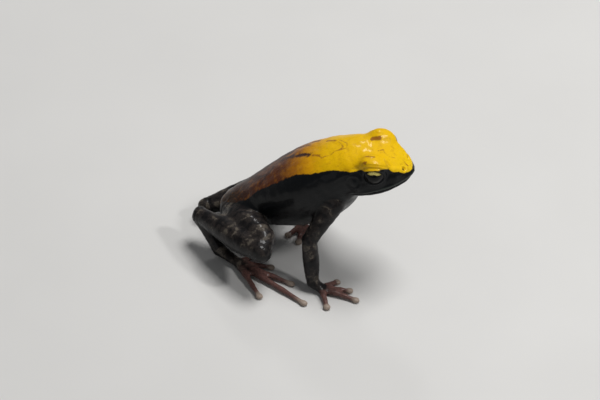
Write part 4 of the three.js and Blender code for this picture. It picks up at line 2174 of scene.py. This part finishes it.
@dataclass(frozen=True)
class Studio:
    """Pale floor, soft lights and the camera.

    Attributes:
        azimuth, elevation, roll: Where the camera stands, in degrees.
        aim: The point of the frog that shows at aim_px, in millimetres.
        aim_px: Where that point falls in the picture, in pixels from its upper left corner.
        px_per_mm: Scale of the picture at the frog.
        distance: From the aim to the camera, in millimetres.
        clip: Nearest and farthest that the camera sees, in metres.
        lamps: A key from above, a window and a rim for the wet glints, and a fill.
        lamp_target: Where they point, in metres.
        sky: Colour of the surround.
        sky_strength: Its strength.
        floor_half: Half the width of the floor, in metres.
        floor_tones: Its darkest and lightest colour.
        floor_cloud: The noise that mixes them.
        floor_gloss: How it shines.
    """

    azimuth: float = 12.0
    elevation: float = 41.0
    roll: float = 3.0
    aim: Triple = (0.0, 0.0, 4.2)
    aim_px: Pair = (222.0, 203.0)
    px_per_mm: float = 8.94
    distance: float = 450.0
    clip: Pair = (0.01, 10.0)
    lamps: tuple[Lamp, ...] = (
        Lamp("key", (0.05, 0.07, 0.30), 0.12, 0.72),
        Lamp("window", (0.20, -0.02, 0.22), 0.028, 0.22),
        Lamp("rim", (-0.08, 0.26, 0.20), 0.04, 0.08),
        Lamp("fill", (-0.06, -0.28, 0.16), 0.22, 0.06),
    )
    lamp_target: Triple = (0.0, 0.0, 0.008)
    sky: Colour = (0.93, 0.96, 1.0)
    sky_strength: float = 0.11
    floor_half: float = 1.5
    floor_tones: tuple[Colour, Colour] = ((0.62, 0.61, 0.59), (0.68, 0.67, 0.65))
    floor_cloud: Cloud = Cloud(0.05, 3)
    floor_gloss: Gloss = Gloss(0.7)

    def camera(self, offset: Vector) -> None:
        """The camera: a long lens, turned so that the aim falls on its pixel.

        Args:
            offset: The frog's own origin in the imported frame, in metres.
        """
        a, e, r = (math.radians(v) for v in (self.azimuth, self.elevation, self.roll))
        right = Vector((math.cos(a), math.sin(a), 0))
        up = Vector((-math.sin(a) * math.sin(e), math.cos(a) * math.sin(e), math.cos(e)))
        back = Vector((math.sin(a) * math.cos(e), -math.cos(a) * math.cos(e), math.sin(e)))
        across = right * math.cos(r) + up * math.sin(r)
        upward = up * math.cos(r) - right * math.sin(r)
        middle = Vector(self.aim)
        middle += across * ((FRAME_WIDTH_PX / 2 - self.aim_px[0]) / self.px_per_mm)
        middle += upward * ((self.aim_px[1] - FRAME_HEIGHT_PX / 2) / self.px_per_mm)
        data = bpy.data.cameras.new("camera")
        data.sensor_width = SENSOR_MM
        data.lens = SENSOR_MM * self.distance / (FRAME_WIDTH_PX / self.px_per_mm)
        data.clip_start, data.clip_end = self.clip
        made = bpy.data.objects.new("camera", data)
        turned = Matrix((across, upward, back)).transposed().to_4x4()
        stand = (middle + back * self.distance) * MM + offset
        made.matrix_world = Matrix.Translation(stand) @ turned
        bpy.context.scene.collection.objects.link(made)
        bpy.context.scene.camera = made

    def lights(self) -> None:
        """The lamps and a pale surround. The standard view keeps the gold saturated."""
        for lamp in self.lamps:
            lamp.add(Vector(self.lamp_target))
        bpy.context.scene.view_settings.view_transform = "Standard"
        world = bpy.data.worlds.new("surround")
        world.use_nodes = True
        background = world.node_tree.nodes["Background"]
        background.inputs["Color"].default_value = (*self.sky, 1.0)
        background.inputs["Strength"].default_value = self.sky_strength
        bpy.context.scene.world = world

    def floor(self) -> None:
        """A wide pale floor just under the soles."""
        half = self.floor_half
        mesh = bpy.data.meshes.new("floor")
        corners = [(-half, -half, 0), (half, -half, 0), (half, half, 0), (-half, half, 0)]
        mesh.from_pydata(corners, [], [(0, 1, 2, 3)])
        floor = bpy.data.objects.new("floor", mesh)
        bpy.context.scene.collection.objects.link(floor)
        sheet = NodeSheet("pale_floor", self.floor_cloud)
        tone = sheet.mix(sheet.clouds[0], *self.floor_tones)
        mesh.materials.append(sheet.finish(tone, self.floor_gloss))
        floor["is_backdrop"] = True


def place_piece(
    name: str, mesh: bpy.types.Mesh, points: np.ndarray, offset: Vector,
    maps: dict[str, np.ndarray], finish: bpy.types.Material,
) -> bpy.types.Object:
    """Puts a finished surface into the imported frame, in metres.

    Args:
        name: The piece's name.
        mesh: The mesh to finish.
        points: Its corners in the frog's frame, in millimetres.
        offset: The frog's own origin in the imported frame, in metres.
        maps: Numbers to keep at each corner, by name.
        finish: Its material.

    Returns:
        The new object, at the origin.
    """
    placed = points * MM + np.array(offset)
    mesh.name = name
    mesh.vertices.foreach_set("co", placed.astype(np.float32).ravel())
    mesh.polygons.foreach_set("use_smooth", np.ones(len(mesh.polygons), bool))
    for key, values in maps.items():
        kept = mesh.attributes.new(key, "FLOAT", "POINT")
        kept.data.foreach_set("value", values.astype(np.float32))
    mesh.materials.clear()
    mesh.materials.append(finish)
    mesh.update()
    piece = bpy.data.objects.new(name, mesh)
    bpy.context.scene.collection.objects.link(piece)
    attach(piece, "root")
    mesh.calc_loop_triangles()
    log.info("%s: %d triangles", name, len(mesh.loop_triangles))
    return piece


def main() -> None:
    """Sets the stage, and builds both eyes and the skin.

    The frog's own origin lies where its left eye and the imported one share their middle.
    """
    logging.basicConfig(level=logging.INFO, format="%(message)s")
    eyes = [Eye(side) for side in Side]
    low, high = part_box("eye_left")
    offset = (low + high) / 2 - Vector(Eye(Side.LEFT).centre()) * MM
    studio = Studio()
    studio.camera(offset)
    studio.lights()
    studio.floor()
    wet_eye = WetEye().material()
    for eye in eyes:
        eye.build(offset, wet_eye)
    skin = Skin([Lids(eye) for eye in eyes], Arm.pair(), Leg.pair())
    skin.build(offset, WetSkin().material())
    low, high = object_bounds()


if __name__ == "__main__":
    main()
